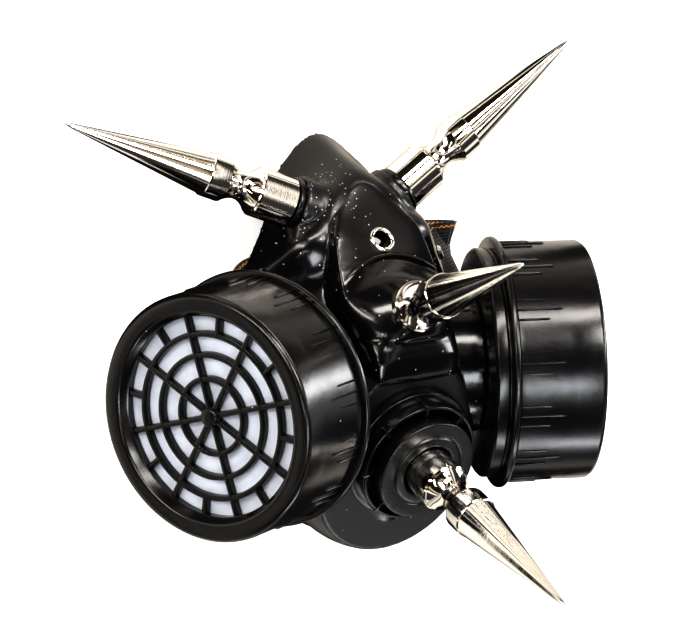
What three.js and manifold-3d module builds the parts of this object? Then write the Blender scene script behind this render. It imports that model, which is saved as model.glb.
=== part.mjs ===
// A spiked half mask in the gas mask style: a moulded facepiece, two side filter drums,
// a front valve, four screwed spikes, an eyelet and an elastic strap. Millimetres.
//
// The mask is modelled upright, as it is worn: X to its left, Y to the back of the head, Z up,
// with the origin midway between the outer faces of the drums. It is then laid on its rim.
import * as THREE from "three";
import Module from "manifold-3d";
import { mergeVertices } from "three/addons/utils/BufferGeometryUtils.js";

const wasm = await Module();
wasm.setup();

// Facepiece
const FACE_HALF_WIDTH = 47;
const NOSE_RISE = 80;
const CHIN_DROP = 61;
const FACE_DEPTH = 65;
const REST_DEPTH = 54;
const WALL = 2.4;
const FACE_AROUND = 40;
const FACE_STEPS = 2;

// Chin bowl and the flat face that carries the valve
const BOWL_RADIUS = 34.6;
const BOWL_DEPTH = 16;
const BOWL_DROP = 25.6;
const BOWL_SIDES = 22;
const VALVE_TILT = THREE.MathUtils.degToRad(-17.8);
const VALVE_FACE_DEPTH = -11;
const VALVE_FACE_TOP = 6.1;

// Raised panel down the middle, with the snout round the middle spike
const PANEL_HALF_WIDTH = 16;
const PANEL_TOP = 67.2;
const PANEL_DEPTH = 36;
const PANEL_AROUND = 8;

// Filter drums
const DRUM_RADIUS = 42;
const DRUM_SPAN = 76.86;
const DRUM_TURN = THREE.MathUtils.degToRad(23.69);
const DRUM_LENGTH = 30.4;
const DRUM_WALL = 2.2;
const DRUM_LIP_RADIUS = 44.1;
const DRUM_LIP_LENGTH = 2.6;
const HOUSING_RADIUS = 40.2;
const HOUSING_LENGTH = 5.6;
const HOUSING_ROUND = 1.2;
const SPIGOT_LENGTH = 4;
const CAP_ROUND = 2.4;
const LIP_CHAMFER = 0.5;
const NECK_RADIUS = 20;
const NECK_LENGTH = 10;
const SOCKET_WALL = 4;
const GRILLE_RADIUS = 35;
const GRILLE_DROP = 3.6;
const GRILLE_THICKNESS = 2.6;
const GRILLE_BAR = 2.3;
const GRILLE_HUB_RADIUS = 3.2;
const GRILLE_HUB_RISE = 1.8;
const GRILLE_SPOKES = 8;
const GRILLE_TURN = THREE.MathUtils.degToRad(16.9);
const PAD_THICKNESS = 5;
const GRIP_GROUPS = 14;
const GRIP_LENGTH = 15;
const GRIP_HEIGHT = 0.6;
const GRIP_WIDTH = 1.2;

// Exhale valve
const SEAT_RADIUS = 23.8;
const SEAT_HEIGHT = 4.2;
const SEAT_CHAMFER = 1;
const NUT_RADIUS = 22;
const NUT_WALL = 1.9;
const NUT_HEIGHT = 6.4;
const NUT_RIBS = 8;
const NUT_RIB_WIDTH = 2.6;
const NUT_RIB_BITE = 1;
const VALVE_CORE_RADIUS = 16.8;
const VALVE_STUB_RADIUS = 12.8;
const VALVE_STUB_LENGTH = 4;
const VALVE_CAP_RADIUS = 18.4;
const VALVE_CAP_THICKNESS = 4.4;
const VALVE_CAP_CHAMFER = 0.8;
const VALVE_STEP_RADIUS = 13.1;
const VALVE_STEP_HEIGHT = 0.6;

// Spikes
const SPIKE_LENGTH = 85;
const SPIKE_COLLAR_RADIUS = 8.7;
const SPIKE_RING_RADIUS = 7.75;
const SPIKE_CONE_RADIUS = 7.2;
const SPIKE_WAIST_RADIUS = 5;
const SPIKE_TIP_RADIUS = 0.5;
const SPIKE_SINK = 2;
const MIDDLE_SPIKE_SINK = 10.4;
const BOSS_RADIUS = 10.6;
const BOSS_LENGTH = 17;
const BOSS_STRAIGHT = 4;
const WASHER_RADIUS = 9.35;
const WASHER_THICKNESS = 1.8;

// Eyelet, strap and its rivets
const EYELET_RADIUS = 4.8;
const EYELET_HOLE_RADIUS = 2.5;
const EYELET_RIM = 1.1;
const EYELET_ROUND = 0.5;
const EYELET_WALL = 0.7;
const EYELET_TURN_WIDTH = 1.2;
const EYELET_TURN_THICKNESS = 0.8;
const STRAP_WIDTH = 22;
const STRAP_THICKNESS = 1.5;
const STRAP_STEPS = 2;
const STRAP_SLACK = 5.7;
const RIVET_RADIUS = 1.5;
const RIVET_HEAD_RADIUS = 2.8;
const RIVET_HEAD = 1;

const GAP = 0.3;
const DRUM_SIDES = 32;
const VALVE_SIDES = 24;
const SPIKE_SIDES = 16;
const SMALL_SIDES = 12;

// The route of the strap's centre line, from its end at the left rivet to its end at the right one,
// as shares: wide of the face's half width, deep of the rest depth, and high of the nose rise above
// the drums' middle or, below it, of the chin drop. Lean is in degrees from upright to the back.
const STRAP_ROUTE = [
  { wide: 0.69, deep: 0.573, high: 0.355, lean: 28 }, { wide: 0.735, deep: 0.67, high: 0.355, lean: 28 },
  { wide: 0.86, deep: 0.815, high: 0.388, lean: 25 }, { wide: 1.01, deep: 0.828, high: 0.415, lean: 24 },
  { wide: 1.065, deep: 0.86, high: 0.42, lean: 24 }, { wide: 1.01, deep: 0.888, high: 0.425, lean: 25 },
  { wide: 0.87, deep: 0.876, high: 0.43, lean: 27 }, { wide: 0.67, deep: 0.835, high: 0.4, lean: 38 },
  { wide: 0.63, deep: 0.77, high: 0.26, lean: 66 }, { wide: 0.62, deep: 0.77, high: 0.07, lean: 86 },
  { wide: 0.61, deep: 0.77, high: -0.18, lean: 90 }, { wide: 0.5, deep: 0.77, high: -0.46, lean: 90 },
  { wide: 0.28, deep: 0.77, high: -0.67, lean: 90 }, { wide: 0, deep: 0.77, high: -0.75, lean: 90 },
  { wide: -0.28, deep: 0.77, high: -0.67, lean: 90 }, { wide: -0.5, deep: 0.77, high: -0.46, lean: 90 },
  { wide: -0.61, deep: 0.77, high: -0.18, lean: 90 }, { wide: -0.6, deep: 0.77, high: 0.03, lean: 88 },
  { wide: -0.55, deep: 0.77, high: 0.18, lean: 80 }, { wide: -0.52, deep: 0.78, high: 0.31, lean: 60 },
  { wide: -0.56, deep: 0.8, high: 0.39, lean: 40 }, { wide: -0.6, deep: 0.805, high: 0.385, lean: 33 },
  { wide: -0.645, deep: 0.795, high: 0.37, lean: 31 }, { wide: -0.66, deep: 0.745, high: 0.345, lean: 30 },
  { wide: -0.674, deep: 0.668, high: 0.345, lean: 29 },
  { wide: -0.668, deep: 0.575, high: 0.345, lean: 29 },
];

const RUBBER = new THREE.MeshStandardMaterial({ color: 0x0b0b0d, roughness: 0.12, metalness: 0 });
const PLASTIC = new THREE.MeshStandardMaterial({ color: 0x141414, roughness: 0.4, metalness: 0 });
const STEEL = new THREE.MeshStandardMaterial({ color: 0xb9b2a6, roughness: 0.08, metalness: 1 });
const FELT = new THREE.MeshStandardMaterial({ color: 0xe6edf6, roughness: 0.95, metalness: 0 });
const WEBBING = new THREE.MeshStandardMaterial({ color: 0x17171a, roughness: 0.9, metalness: 0 });

// Turns a closed geometry into a solid that can be joined and cut.
function solid(geometry) {
  const bare = geometry.clone();
  bare.deleteAttribute("normal");
  bare.deleteAttribute("uv");
  const merged = mergeVertices(bare, 1e-4);
  return new wasm.Manifold(new wasm.Mesh({
    numProp: 3,
    vertProperties: Float32Array.from(merged.attributes.position.array),
    triVerts: Uint32Array.from(merged.index.array),
  }));
}

function geometryOf(body) {
  const mesh = body.getMesh();
  const geometry = new THREE.BufferGeometry();
  geometry.setAttribute("position", new THREE.BufferAttribute(mesh.vertProperties, 3));
  geometry.setIndex(new THREE.BufferAttribute(mesh.triVerts, 1));
  geometry.computeVertexNormals();
  return geometry;
}

function join(bodies) {
  return bodies.reduce((whole, body) => whole.add(body));
}

function pieceMesh(name, geometry, material) {
  const mesh = new THREE.Mesh(geometry, material);
  mesh.name = name;
  return mesh;
}

// A solid of revolution whose axis is Z, from rows of radius and height that close on themselves.
function turned(rows, sides) {
  const outline = rows.map(([radius, height]) => new THREE.Vector2(radius, height));
  const geometry = new THREE.LatheGeometry(outline, sides);
  geometry.rotateX(Math.PI / 2);
  return geometry;
}

function disc(radius, low, high, sides) {
  return turned([[0, low], [radius, low], [radius, high], [0, high]], sides);
}

function tube(outer, inner, low, high, sides) {
  return turned([[inner, low], [outer, low], [outer, high], [inner, high], [inner, low]], sides);
}

// The matrix that puts a piece's Z axis along a direction, with its base at a point.
function along(point, direction) {
  const turn = new THREE.Quaternion().setFromUnitVectors(new THREE.Vector3(0, 0, 1), direction);
  return new THREE.Matrix4().compose(point, turn, new THREE.Vector3(1, 1, 1));
}

function mirrorX(point) {
  return new THREE.Vector3(-point.x, point.y, point.z);
}

// Closed rings of equal count, lofted into one solid with a point at each end.
function ringLoft(rings, firstEnd, lastEnd) {
  const count = rings[0].length;
  const points = [firstEnd, ...rings.flat(), lastEnd];
  const index = [];
  const at = (ring, step) => 1 + ring * count + (step % count);
  const last = points.length - 1;
  for (let step = 0; step < count; step += 1) {
    index.push(0, at(0, step + 1), at(0, step));
    index.push(last, at(rings.length - 1, step), at(rings.length - 1, step + 1));
    for (let ring = 0; ring + 1 < rings.length; ring += 1) {
      index.push(at(ring, step), at(ring, step + 1), at(ring + 1, step + 1));
      index.push(at(ring, step), at(ring + 1, step + 1), at(ring + 1, step));
    }
  }
  const geometry = new THREE.BufferGeometry();
  const corners = points.flatMap((point) => point.toArray());
  geometry.setAttribute("position", new THREE.Float32BufferAttribute(corners, 3));
  geometry.setIndex(index);
  const body = solid(geometry);
  if (body.volume() > 0) return body;
  geometry.setIndex(index.reverse());
  return solid(geometry);
}

// Facepiece sections from the rim to the front. Each has stations from the nose bridge down to the
// chin, as shares: wide of the half width, deep of the depth forward of the rest plane, and high of
// the nose rise above the drums' middle or, below it, of the chin drop.
const STATIONS = ["bridge", "nose", "eye", "cheekbone", "cheek", "jaw", "chin"];
const SECTIONS = [
  { // rim
    wide: { bridge: 0, nose: 0.345, eye: 0.60, cheekbone: 0.87, cheek: 1.0, jaw: 0.87, chin: 0 },
    deep: { bridge: 0, nose: 0.02, eye: 0.15, cheekbone: 0.26, cheek: 0.18, jaw: 0, chin: 0.05 },
    high: { bridge: 1.0, nose: 0.865, eye: 0.64, cheekbone: 0.445, cheek: 0.08, jaw: -0.6, chin: -0.935 },
  },
  { // crease inside the flared edge
    wide: { bridge: 0, nose: 0.32, eye: 0.53, cheekbone: 0.66, cheek: 0.85, jaw: 0.75, chin: 0 },
    deep: { bridge: 0.15, nose: 0.20, eye: 0.49, cheekbone: 0.46, cheek: 0.46, jaw: 0.28, chin: 0.25 },
    high: { bridge: 0.955, nose: 0.80, eye: 0.64, cheekbone: 0.475, cheek: 0.06, jaw: -0.65, chin: -0.97 },
  },
  { // foot of the raised panel
    wide: { bridge: 0, nose: 0.26, eye: 0.36, cheekbone: 0.41, cheek: 0.70, jaw: 0.61, chin: 0 },
    deep: { bridge: 0.43, nose: 0.472, eye: 0.56, cheekbone: 0.60, cheek: 0.68, jaw: 0.56, chin: 0.49 },
    high: { bridge: 0.845, nose: 0.785, eye: 0.62, cheekbone: 0.41, cheek: 0.05, jaw: -0.66, chin: -0.985 },
  },
  { // behind the snout and round the valve
    wide: { bridge: 0, nose: 0.20, eye: 0.30, cheekbone: 0.36, cheek: 0.53, jaw: 0.48, chin: 0 },
    deep: { bridge: 0.60, nose: 0.60, eye: 0.61, cheekbone: 0.75, cheek: 0.87, jaw: 0.76, chin: 0.67 },
    high: { bridge: 0.62, nose: 0.585, eye: 0.50, cheekbone: 0.30, cheek: -0.06, jaw: -0.58, chin: -0.9 },
  },
  { // front
    wide: { bridge: 0, nose: 0.12, eye: 0.21, cheekbone: 0.26, cheek: 0.30, jaw: 0.26, chin: 0 },
    deep: { bridge: 0.74, nose: 0.75, eye: 0.81, cheekbone: 0.91, cheek: 0.94, jaw: 0.84, chin: 0.78 },
    high: { bridge: 0.42, nose: 0.39, eye: 0.28, cheekbone: 0.12, cheek: -0.08, jaw: -0.45, chin: -0.68 },
  },
];

function stationPoint(section, station) {
  const high = section.high[station];
  return new THREE.Vector3(
    section.wide[station] * FACE_HALF_WIDTH,
    REST_DEPTH - section.deep[station] * FACE_DEPTH,
    high * (high > 0 ? NOSE_RISE : CHIN_DROP),
  );
}

// One section as a smooth closed curve through its stations and their mirror images.
function sectionCurve(section) {
  const near = STATIONS.map((station) => stationPoint(section, station));
  const far = near.slice(1, -1).reverse().map(mirrorX);
  return new THREE.CatmullRomCurve3([...near, ...far], true, "centripetal");
}

// The facepiece's outer surface as a grid of points, and its outward directions.
function faceGrid() {
  const curves = SECTIONS.map(sectionCurve);
  const lengthwise = [];
  for (let step = 0; step < FACE_AROUND; step += 1) {
    const row = curves.map((curve) => curve.getPoint(step / FACE_AROUND));
    lengthwise.push(new THREE.CatmullRomCurve3(row, false, "centripetal"));
  }
  const rows = (SECTIONS.length - 1) * FACE_STEPS;
  const rings = [];
  for (let row = 0; row <= rows; row += 1) {
    rings.push(lengthwise.map((curve) => curve.getPoint(row / rows)));
  }
  return rings;
}

function gridNormal(rings, row, step) {
  const count = FACE_AROUND;
  const before = rings[Math.max(row - 1, 0)][step];
  const after = rings[Math.min(row + 1, rings.length - 1)][step];
  const left = rings[row][(step + count - 1) % count];
  const right = rings[row][(step + 1) % count];
  const forward = new THREE.Vector3().subVectors(after, before);
  const around = new THREE.Vector3().subVectors(right, left);
  return new THREE.Vector3().crossVectors(around, forward).normalize();
}

const FACE_RINGS = faceGrid();
const OUTWARD = Math.sign(gridNormal(FACE_RINGS, 4, 0).z);

function faceNormal(row, step) {
  return gridNormal(FACE_RINGS, row, step).multiplyScalar(OUTWARD);
}

// A point of the outer surface, with rows counted from the rim and steps from the bridge.
function facePoint(row, step, lift) {
  return FACE_RINGS[row][step].clone().addScaledVector(faceNormal(row, step), lift);
}

// The facepiece's main form, grown or shrunk along its own surface. The shrunk one runs on
// backwards, so that cutting it away leaves the back of the mask open.
function faceForm(lift, openLength) {
  const rings = FACE_RINGS.map((ring, row) => ring.map((_, step) => facePoint(row, step, lift)));
  const middle = new THREE.Vector3(0, REST_DEPTH - 0.3 * FACE_DEPTH, 0);
  if (openLength > 0) {
    const back = new THREE.Vector3(0, openLength, 0);
    rings.unshift(rings[0].map((point) => point.clone().add(back)));
    middle.y = REST_DEPTH + openLength;
  }
  const front = SECTIONS[SECTIONS.length - 1];
  const nose = stationPoint(front, "bridge").lerp(stationPoint(front, "chin"), 0.45);
  nose.y = stationPoint(front, "cheek").y - lift;
  return ringLoft(rings, middle, nose);
}

// Panel sections from the arch at its top down to the lower edge, as shares: high of the panel's top,
// wide of its half width, and front and side of its depth. Front is how far the middle stands forward
// of the back plane and side how far the corners do; round is the power of the curve between them.
// Bow is how far a section hangs down at the half width, as a share of the panel's top.
const PANEL_SECTIONS = [
  { high: 1, wide: 0.1, front: 0.32, side: 0.3, round: 2, bow: 0 },
  { high: 0.982, wide: 0.27, front: 0.345, side: 0.31, round: 2, bow: 0 },
  { high: 0.938, wide: 0.51, front: 0.39, side: 0.34, round: 2.2, bow: 0 },
  { high: 0.863, wide: 0.81, front: 0.485, side: 0.43, round: 2.4, bow: 0 },
  { high: 0.762, wide: 1.07, front: 0.637, side: 0.59, round: 2.6, bow: 0.004 },
  { high: 0.664, wide: 1.21, front: 0.765, side: 0.717, round: 2.6, bow: 0.07 },
  { high: 0.645, wide: 1.23, front: 0.8, side: 0.736, round: 2.3, bow: 0.073 },
  { high: 0.615, wide: 1.25, front: 0.89, side: 0.764, round: 2.1, bow: 0.07 },
  { high: 0.565, wide: 1.27, front: 1.05, side: 0.806, round: 2, bow: 0.06 },
  { high: 0.505, wide: 1.27, front: 1.19, side: 0.85, round: 2, bow: 0.047 },
  { high: 0.445, wide: 1.26, front: 1.28, side: 0.89, round: 2, bow: 0.034 },
  { high: 0.375, wide: 1.21, front: 1.34, side: 0.93, round: 2.1, bow: 0.016 },
  { high: 0.308, wide: 1.15, front: 1.355, side: 0.97, round: 2.4, bow: 0 },
  { high: 0.285, wide: 1.13, front: 1.325, side: 1, round: 3.4, bow: 0 },
  { high: 0.223, wide: 1.09, front: 1.345, side: 1.09, round: 5, bow: 0 },
  { high: 0.158, wide: 1.05, front: 1.355, side: 1.18, round: 6, bow: 0 },
  { high: 0.105, wide: 1, front: 1.345, side: 1.26, round: 6, bow: 0 },
  { high: 0.078, wide: 0.94, front: 1.325, side: 1.28, round: 6, bow: 0 },
];

// How far a bowed section also comes forward, as a share of how far it hangs down.
const BOW_LEAN = 0.5;

// The panel's front on the mask's middle plane, at a share of the panel's height.
function panelPoint(section, lift) {
  return new THREE.Vector3(0, PANEL_DEPTH - section.front * PANEL_DEPTH - lift, section.high * PANEL_TOP);
}

function panelForm(inset) {
  const rings = PANEL_SECTIONS.map(({ high, wide, front, side, round, bow }) => {
    const width = Math.max(PANEL_HALF_WIDTH * wide - inset, 0.1);
    const edge = PANEL_DEPTH * (1 - side) + inset;
    const reach = PANEL_DEPTH * (front - side);
    const level = PANEL_TOP * high - inset * (2 * high - 1);
    const hang = (x) => bow * PANEL_TOP * (x / PANEL_HALF_WIDTH) ** 2;
    const ring = [new THREE.Vector3(width, REST_DEPTH / 2, level - hang(width))];
    for (let step = 0; step <= PANEL_AROUND; step += 1) {
      const angle = (Math.PI * step) / PANEL_AROUND;
      const across = Math.sign(Math.cos(angle)) * Math.abs(Math.cos(angle)) ** (2 / round);
      const ahead = Math.abs(Math.sin(angle)) ** (2 / round);
      const x = width * across;
      ring.push(new THREE.Vector3(x, edge - reach * ahead - BOW_LEAN * hang(x), level - hang(x)));
    }
    ring.push(new THREE.Vector3(-width, REST_DEPTH / 2, level - hang(width)));
    return ring;
  });
  const capPoint = (ring) => new THREE.Vector3(0, REST_DEPTH / 2 - 1, ring[0].z);
  return ringLoft(rings, capPoint(rings[0]), capPoint(rings[rings.length - 1]));
}

// The valve's axis points forward and down from the flat face under the snout.
const VALVE_AXIS = new THREE.Vector3(0, -Math.cos(VALVE_TILT), Math.sin(VALVE_TILT));
const VALVE_FACE_POINT = new THREE.Vector3(0, VALVE_FACE_DEPTH, VALVE_FACE_TOP);
const VALVE_DOWN = new THREE.Vector3(0, -VALVE_AXIS.z, VALVE_AXIS.y);
const VALVE_DROP = 27.8;
const VALVE_CENTRE = VALVE_FACE_POINT.clone().addScaledVector(VALVE_DOWN, VALVE_DROP);

// Everything behind the flat valve face, grown or shrunk with the form that it cuts.
function behindValveFace(inset) {
  const reach = 4 * BOWL_RADIUS;
  const block = new THREE.BoxGeometry(reach, reach, reach);
  block.translate(0, 0, -reach / 2 - inset);
  block.applyMatrix4(along(VALVE_FACE_POINT, VALVE_AXIS));
  return solid(block);
}

function bowlForm(inset) {
  const ball = new THREE.SphereGeometry(BOWL_RADIUS - inset, BOWL_SIDES, BOWL_SIDES / 2);
  ball.translate(0, BOWL_DEPTH, -BOWL_DROP);
  return solid(ball).intersect(behindValveFace(inset));
}

// The shield between the panel's lower edge and the bowl, with its corners as shares of the
// panel's half width across and of the valve's drop down the face.
const SHIELD_CORNERS = [
  { across: 0.95, down: -0.03 }, { across: 1.27, down: 0.2 }, { across: 1.55, down: 0.58 },
  { across: 1.72, down: 0.95 }, { across: 1.7, down: 1.3 },
];
const SHIELD_THICKNESS = 16;

function shieldForm(inset) {
  const near = SHIELD_CORNERS.map(({ across, down }) => [
    across * PANEL_HALF_WIDTH - inset,
    -down * VALVE_DROP - (down < 0 ? inset : 0),
  ]);
  const far = near.map(([x, y]) => [-x, y]).reverse();
  const outline = new THREE.Shape([...near, ...far].map(([x, y]) => new THREE.Vector2(x, y)));
  const slab = new THREE.ExtrudeGeometry(outline, { depth: SHIELD_THICKNESS, bevelEnabled: false });
  slab.translate(0, 0, -SHIELD_THICKNESS - inset);
  const frame = new THREE.Matrix4().makeBasis(
    new THREE.Vector3(1, 0, 0),
    VALVE_DOWN.clone().negate(),
    new THREE.Vector3().crossVectors(new THREE.Vector3(1, 0, 0), VALVE_DOWN.clone().negate()),
  );
  frame.setPosition(VALVE_FACE_POINT);
  slab.applyMatrix4(frame);
  return solid(slab);
}

// Drum places: the axis points out to the side and forward.
const SIDES = [{ name: "right", sign: -1 }, { name: "left", sign: 1 }];

function drumAxis(sign) {
  return new THREE.Vector3(sign * Math.cos(DRUM_TURN), -Math.sin(DRUM_TURN), 0);
}

// The middle of the drum's front edge plane, moved along the axis by a distance.
function drumPoint(sign, distance) {
  return new THREE.Vector3(sign * DRUM_SPAN, 0, 0).addScaledVector(drumAxis(sign), distance);
}

// The place of a drum: its own X runs level towards the face's front, Y up and Z out.
function drumPlace(sign, distance) {
  const axis = drumAxis(sign);
  const up = new THREE.Vector3(0, 0, 1);
  const frame = new THREE.Matrix4().makeBasis(new THREE.Vector3().crossVectors(up, axis), up, axis);
  return frame.setPosition(drumPoint(sign, distance));
}

const HOUSING_BACK = -(DRUM_LENGTH + DRUM_LIP_LENGTH + HOUSING_LENGTH);

function placedSolid(geometry, point, direction) {
  return solid(geometry.clone().applyMatrix4(along(point, direction)));
}

// Spikes, each placed by the middle of its collar's foot. Lean is to the front and rise is up.
const degrees = THREE.MathUtils.degToRad;
const SIDE_SPIKES = [
  { name: "spike_right", sign: -1, lean: degrees(-9.8), rise: degrees(22.5) },
  { name: "spike_left", sign: 1, lean: degrees(1.2), rise: degrees(33.2) },
];
const SIDE_SPIKE_FOOT = { x: 22.6, y: 35.5, z: 60.6 };
const MIDDLE_SPIKE_RISE = degrees(22.3);
const MIDDLE_SPIKE_LEAN = degrees(4.1);
const MIDDLE_SPIKE_SEAT = { y: -9.2, z: 29.8 };

function spikeDirection(sign, lean, rise) {
  return new THREE.Vector3(
    sign * Math.cos(rise) * Math.cos(lean),
    -Math.cos(rise) * Math.sin(lean),
    Math.sin(rise),
  );
}

function sideSpikeFoot(sign) {
  return new THREE.Vector3(sign * SIDE_SPIKE_FOOT.x, SIDE_SPIKE_FOOT.y, SIDE_SPIKE_FOOT.z);
}

const MIDDLE_AXIS = spikeDirection(-1, degrees(90) - MIDDLE_SPIKE_LEAN, MIDDLE_SPIKE_RISE);
const MIDDLE_SEAT = new THREE.Vector3(0, MIDDLE_SPIKE_SEAT.y, MIDDLE_SPIKE_SEAT.z);

// Collar, hollow waist, ring and long cone, with heights as shares of the length from the foot.
function spikeGeometry() {
  const rows = [[0, 0], [0.94 * SPIKE_COLLAR_RADIUS, 0], [SPIKE_COLLAR_RADIUS, 0.008]];
  rows.push([SPIKE_COLLAR_RADIUS, 0.155]);
  const waist = { low: 0.165, high: 0.3, steps: 4 };
  for (let step = 0; step <= waist.steps; step += 1) {
    const share = step / waist.steps;
    const edge = THREE.MathUtils.lerp(0.93 * SPIKE_COLLAR_RADIUS, SPIKE_RING_RADIUS, share);
    const radius = edge - (edge - SPIKE_WAIST_RADIUS) * Math.sin(Math.PI * share) ** 0.8;
    rows.push([radius, THREE.MathUtils.lerp(waist.low, waist.high, share)]);
  }
  rows.push([SPIKE_RING_RADIUS, 0.385], [SPIKE_CONE_RADIUS, 0.392]);
  rows.push([SPIKE_TIP_RADIUS * 2, 0.965], [SPIKE_TIP_RADIUS, 0.995], [0, 1]);
  return turned(rows.map(([radius, share]) => [radius, share * SPIKE_LENGTH]), SPIKE_SIDES);
}

// Cheek sockets, bosses and holes of the facepiece.
function socketForm(sign) {
  const length = NECK_LENGTH + SOCKET_WALL;
  const body = disc(NECK_RADIUS + SOCKET_WALL, -length, 0, DRUM_SIDES);
  return placedSolid(body, drumPoint(sign, HOUSING_BACK - GAP), drumAxis(sign));
}

function socketHole(sign) {
  const reach = NECK_LENGTH * 3;
  const hole = disc(NECK_RADIUS + GAP, -reach, reach, DRUM_SIDES);
  return placedSolid(hole, drumPoint(sign, HOUSING_BACK), drumAxis(sign));
}

// Clear room for a drum, from behind its housing outwards.
function drumRoom(sign) {
  const room = disc(DRUM_LIP_RADIUS + GAP, 0, DRUM_SPAN, DRUM_SIDES);
  return placedSolid(room, drumPoint(sign, HOUSING_BACK - GAP), drumAxis(sign));
}

const BOSS_TOP = -(WASHER_THICKNESS + 2 * GAP);

function bossForm({ sign, lean, rise }) {
  const foot = 1.25 * BOSS_RADIUS;
  const body = turned([
    [0, -BOSS_LENGTH], [foot, -BOSS_LENGTH], [BOSS_RADIUS, BOSS_TOP - BOSS_STRAIGHT],
    [BOSS_RADIUS, BOSS_TOP], [0, BOSS_TOP],
  ], SPIKE_SIDES);
  return placedSolid(body, sideSpikeFoot(sign), spikeDirection(sign, lean, rise));
}

// Clear room for a side spike and its washer past the top of the boss.
function bossSeat({ sign, lean, rise }) {
  const room = disc(WASHER_RADIUS + GAP, BOSS_TOP, SPIKE_LENGTH, SPIKE_SIDES);
  return placedSolid(room, sideSpikeFoot(sign), spikeDirection(sign, lean, rise));
}

const EYELET_PLACE = { above: PANEL_SECTIONS[4], below: PANEL_SECTIONS[5], share: 0.3 };
const EYELET_ABOVE = panelPoint(EYELET_PLACE.above, 0);
const EYELET_BELOW = panelPoint(EYELET_PLACE.below, 0);
const EYELET_POINT = EYELET_ABOVE.clone().lerp(EYELET_BELOW, EYELET_PLACE.share);
const PANEL_SLOPE = EYELET_ABOVE.clone().sub(EYELET_BELOW).normalize();
const EYELET_AXIS = new THREE.Vector3(0, -PANEL_SLOPE.z, PANEL_SLOPE.y);
const EYELET_DEPTH = WALL + 5 * GAP;
const RIVET_DEPTH = WALL + STRAP_THICKNESS + STRAP_SLACK;
const RIVET_ROW = 1;
const RIVET_STEP = Math.round(FACE_AROUND * 0.25);

function rivetPlace(sign) {
  const point = facePoint(RIVET_ROW, RIVET_STEP, 0);
  const normal = faceNormal(RIVET_ROW, RIVET_STEP);
  if (point.x * sign > 0) return { point, normal };
  return { point: mirrorX(point), normal: mirrorX(normal) };
}

function rivetHole(sign) {
  const { point, normal } = rivetPlace(sign);
  return placedSolid(disc(RIVET_RADIUS + GAP, -RIVET_DEPTH - GAP, 2 * WALL, SMALL_SIDES), point, normal);
}

// The stub inside the panel that holds the middle spike, and the clear room for that spike.
function middleStub() {
  const body = disc(SPIKE_COLLAR_RADIUS + WALL, -MIDDLE_SPIKE_SINK - WALL, WALL, SPIKE_SIDES);
  return placedSolid(body, MIDDLE_SEAT, MIDDLE_AXIS);
}

function middleRoom() {
  const room = disc(SPIKE_COLLAR_RADIUS + GAP, -MIDDLE_SPIKE_SINK - GAP, SPIKE_LENGTH, SPIKE_SIDES);
  return placedSolid(room, MIDDLE_SEAT, MIDDLE_AXIS);
}

// The hole of the valve's stub and the clear room in front of its flat face.
function valveRoom() {
  const hole = disc(VALVE_STUB_RADIUS + GAP, -6 * WALL, WALL, VALVE_SIDES);
  const room = disc(SEAT_RADIUS + GAP, 0, SPIKE_LENGTH, VALVE_SIDES);
  return [hole, room].map((cut) => placedSolid(cut, VALVE_CENTRE, VALVE_AXIS));
}

// The eyelet's hole, the clear room behind the wall for its turned edge and that in front for its rim.
function eyeletRoom() {
  const barrel = EYELET_HOLE_RADIUS + EYELET_WALL + GAP;
  const low = -EYELET_DEPTH - EYELET_TURN_THICKNESS - GAP;
  const hole = disc(barrel, -4 * WALL, 4 * WALL, SMALL_SIDES);
  const room = disc(barrel + EYELET_TURN_WIDTH, low, GAP - EYELET_DEPTH, SMALL_SIDES);
  const front = disc(EYELET_RADIUS + GAP, 0, REST_DEPTH, SMALL_SIDES);
  return [hole, room, front].map((cut) => placedSolid(cut, EYELET_POINT, EYELET_AXIS));
}

// The facepiece: every outer form joined, every inner form cut away, then its holes.
function facepieceGeometry() {
  const outer = join([
    faceForm(0, 0), panelForm(0), bowlForm(0), shieldForm(0),
    ...SIDES.map(({ sign }) => socketForm(sign)), ...SIDE_SPIKES.map(bossForm),
  ]);
  const inner = join([faceForm(-WALL, REST_DEPTH), panelForm(WALL), bowlForm(WALL), shieldForm(WALL)]);
  const cuts = [
    inner.subtract(middleStub()), middleRoom(), ...eyeletRoom(), ...valveRoom(), ...SIDE_SPIKES.map(bossSeat),
    ...SIDES.flatMap(({ sign }) => [socketHole(sign), drumRoom(sign), rivetHole(sign)]),
  ];
  return geometryOf(cuts.reduce((body, cut) => body.subtract(cut), outer));
}

// The outline of a ring's sector between two angles, as a hole of the grille.
function ringSector(inner, outer, from, to, steps) {
  const points = [];
  const arc = (radius, share) => {
    const angle = THREE.MathUtils.lerp(from, to, share);
    points.push(new THREE.Vector2(radius * Math.cos(angle), radius * Math.sin(angle)));
  };
  for (let step = 0; step <= steps; step += 1) arc(outer, step / steps);
  for (let step = steps; step >= 0; step -= 1) arc(inner, step / steps);
  return new THREE.Path(points);
}

// Web grille rings, as shares of the grille's radius, with the number of gaps between two long
// spokes and the steps of each gap's arcs.
const GRILLE_RINGS = [
  { share: 0.36, gaps: 1, steps: 2 }, { share: 0.59, gaps: 1, steps: 2 },
  { share: 0.792, gaps: 1, steps: 2 }, { share: 1.0, gaps: 2, steps: 1 },
];

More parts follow.
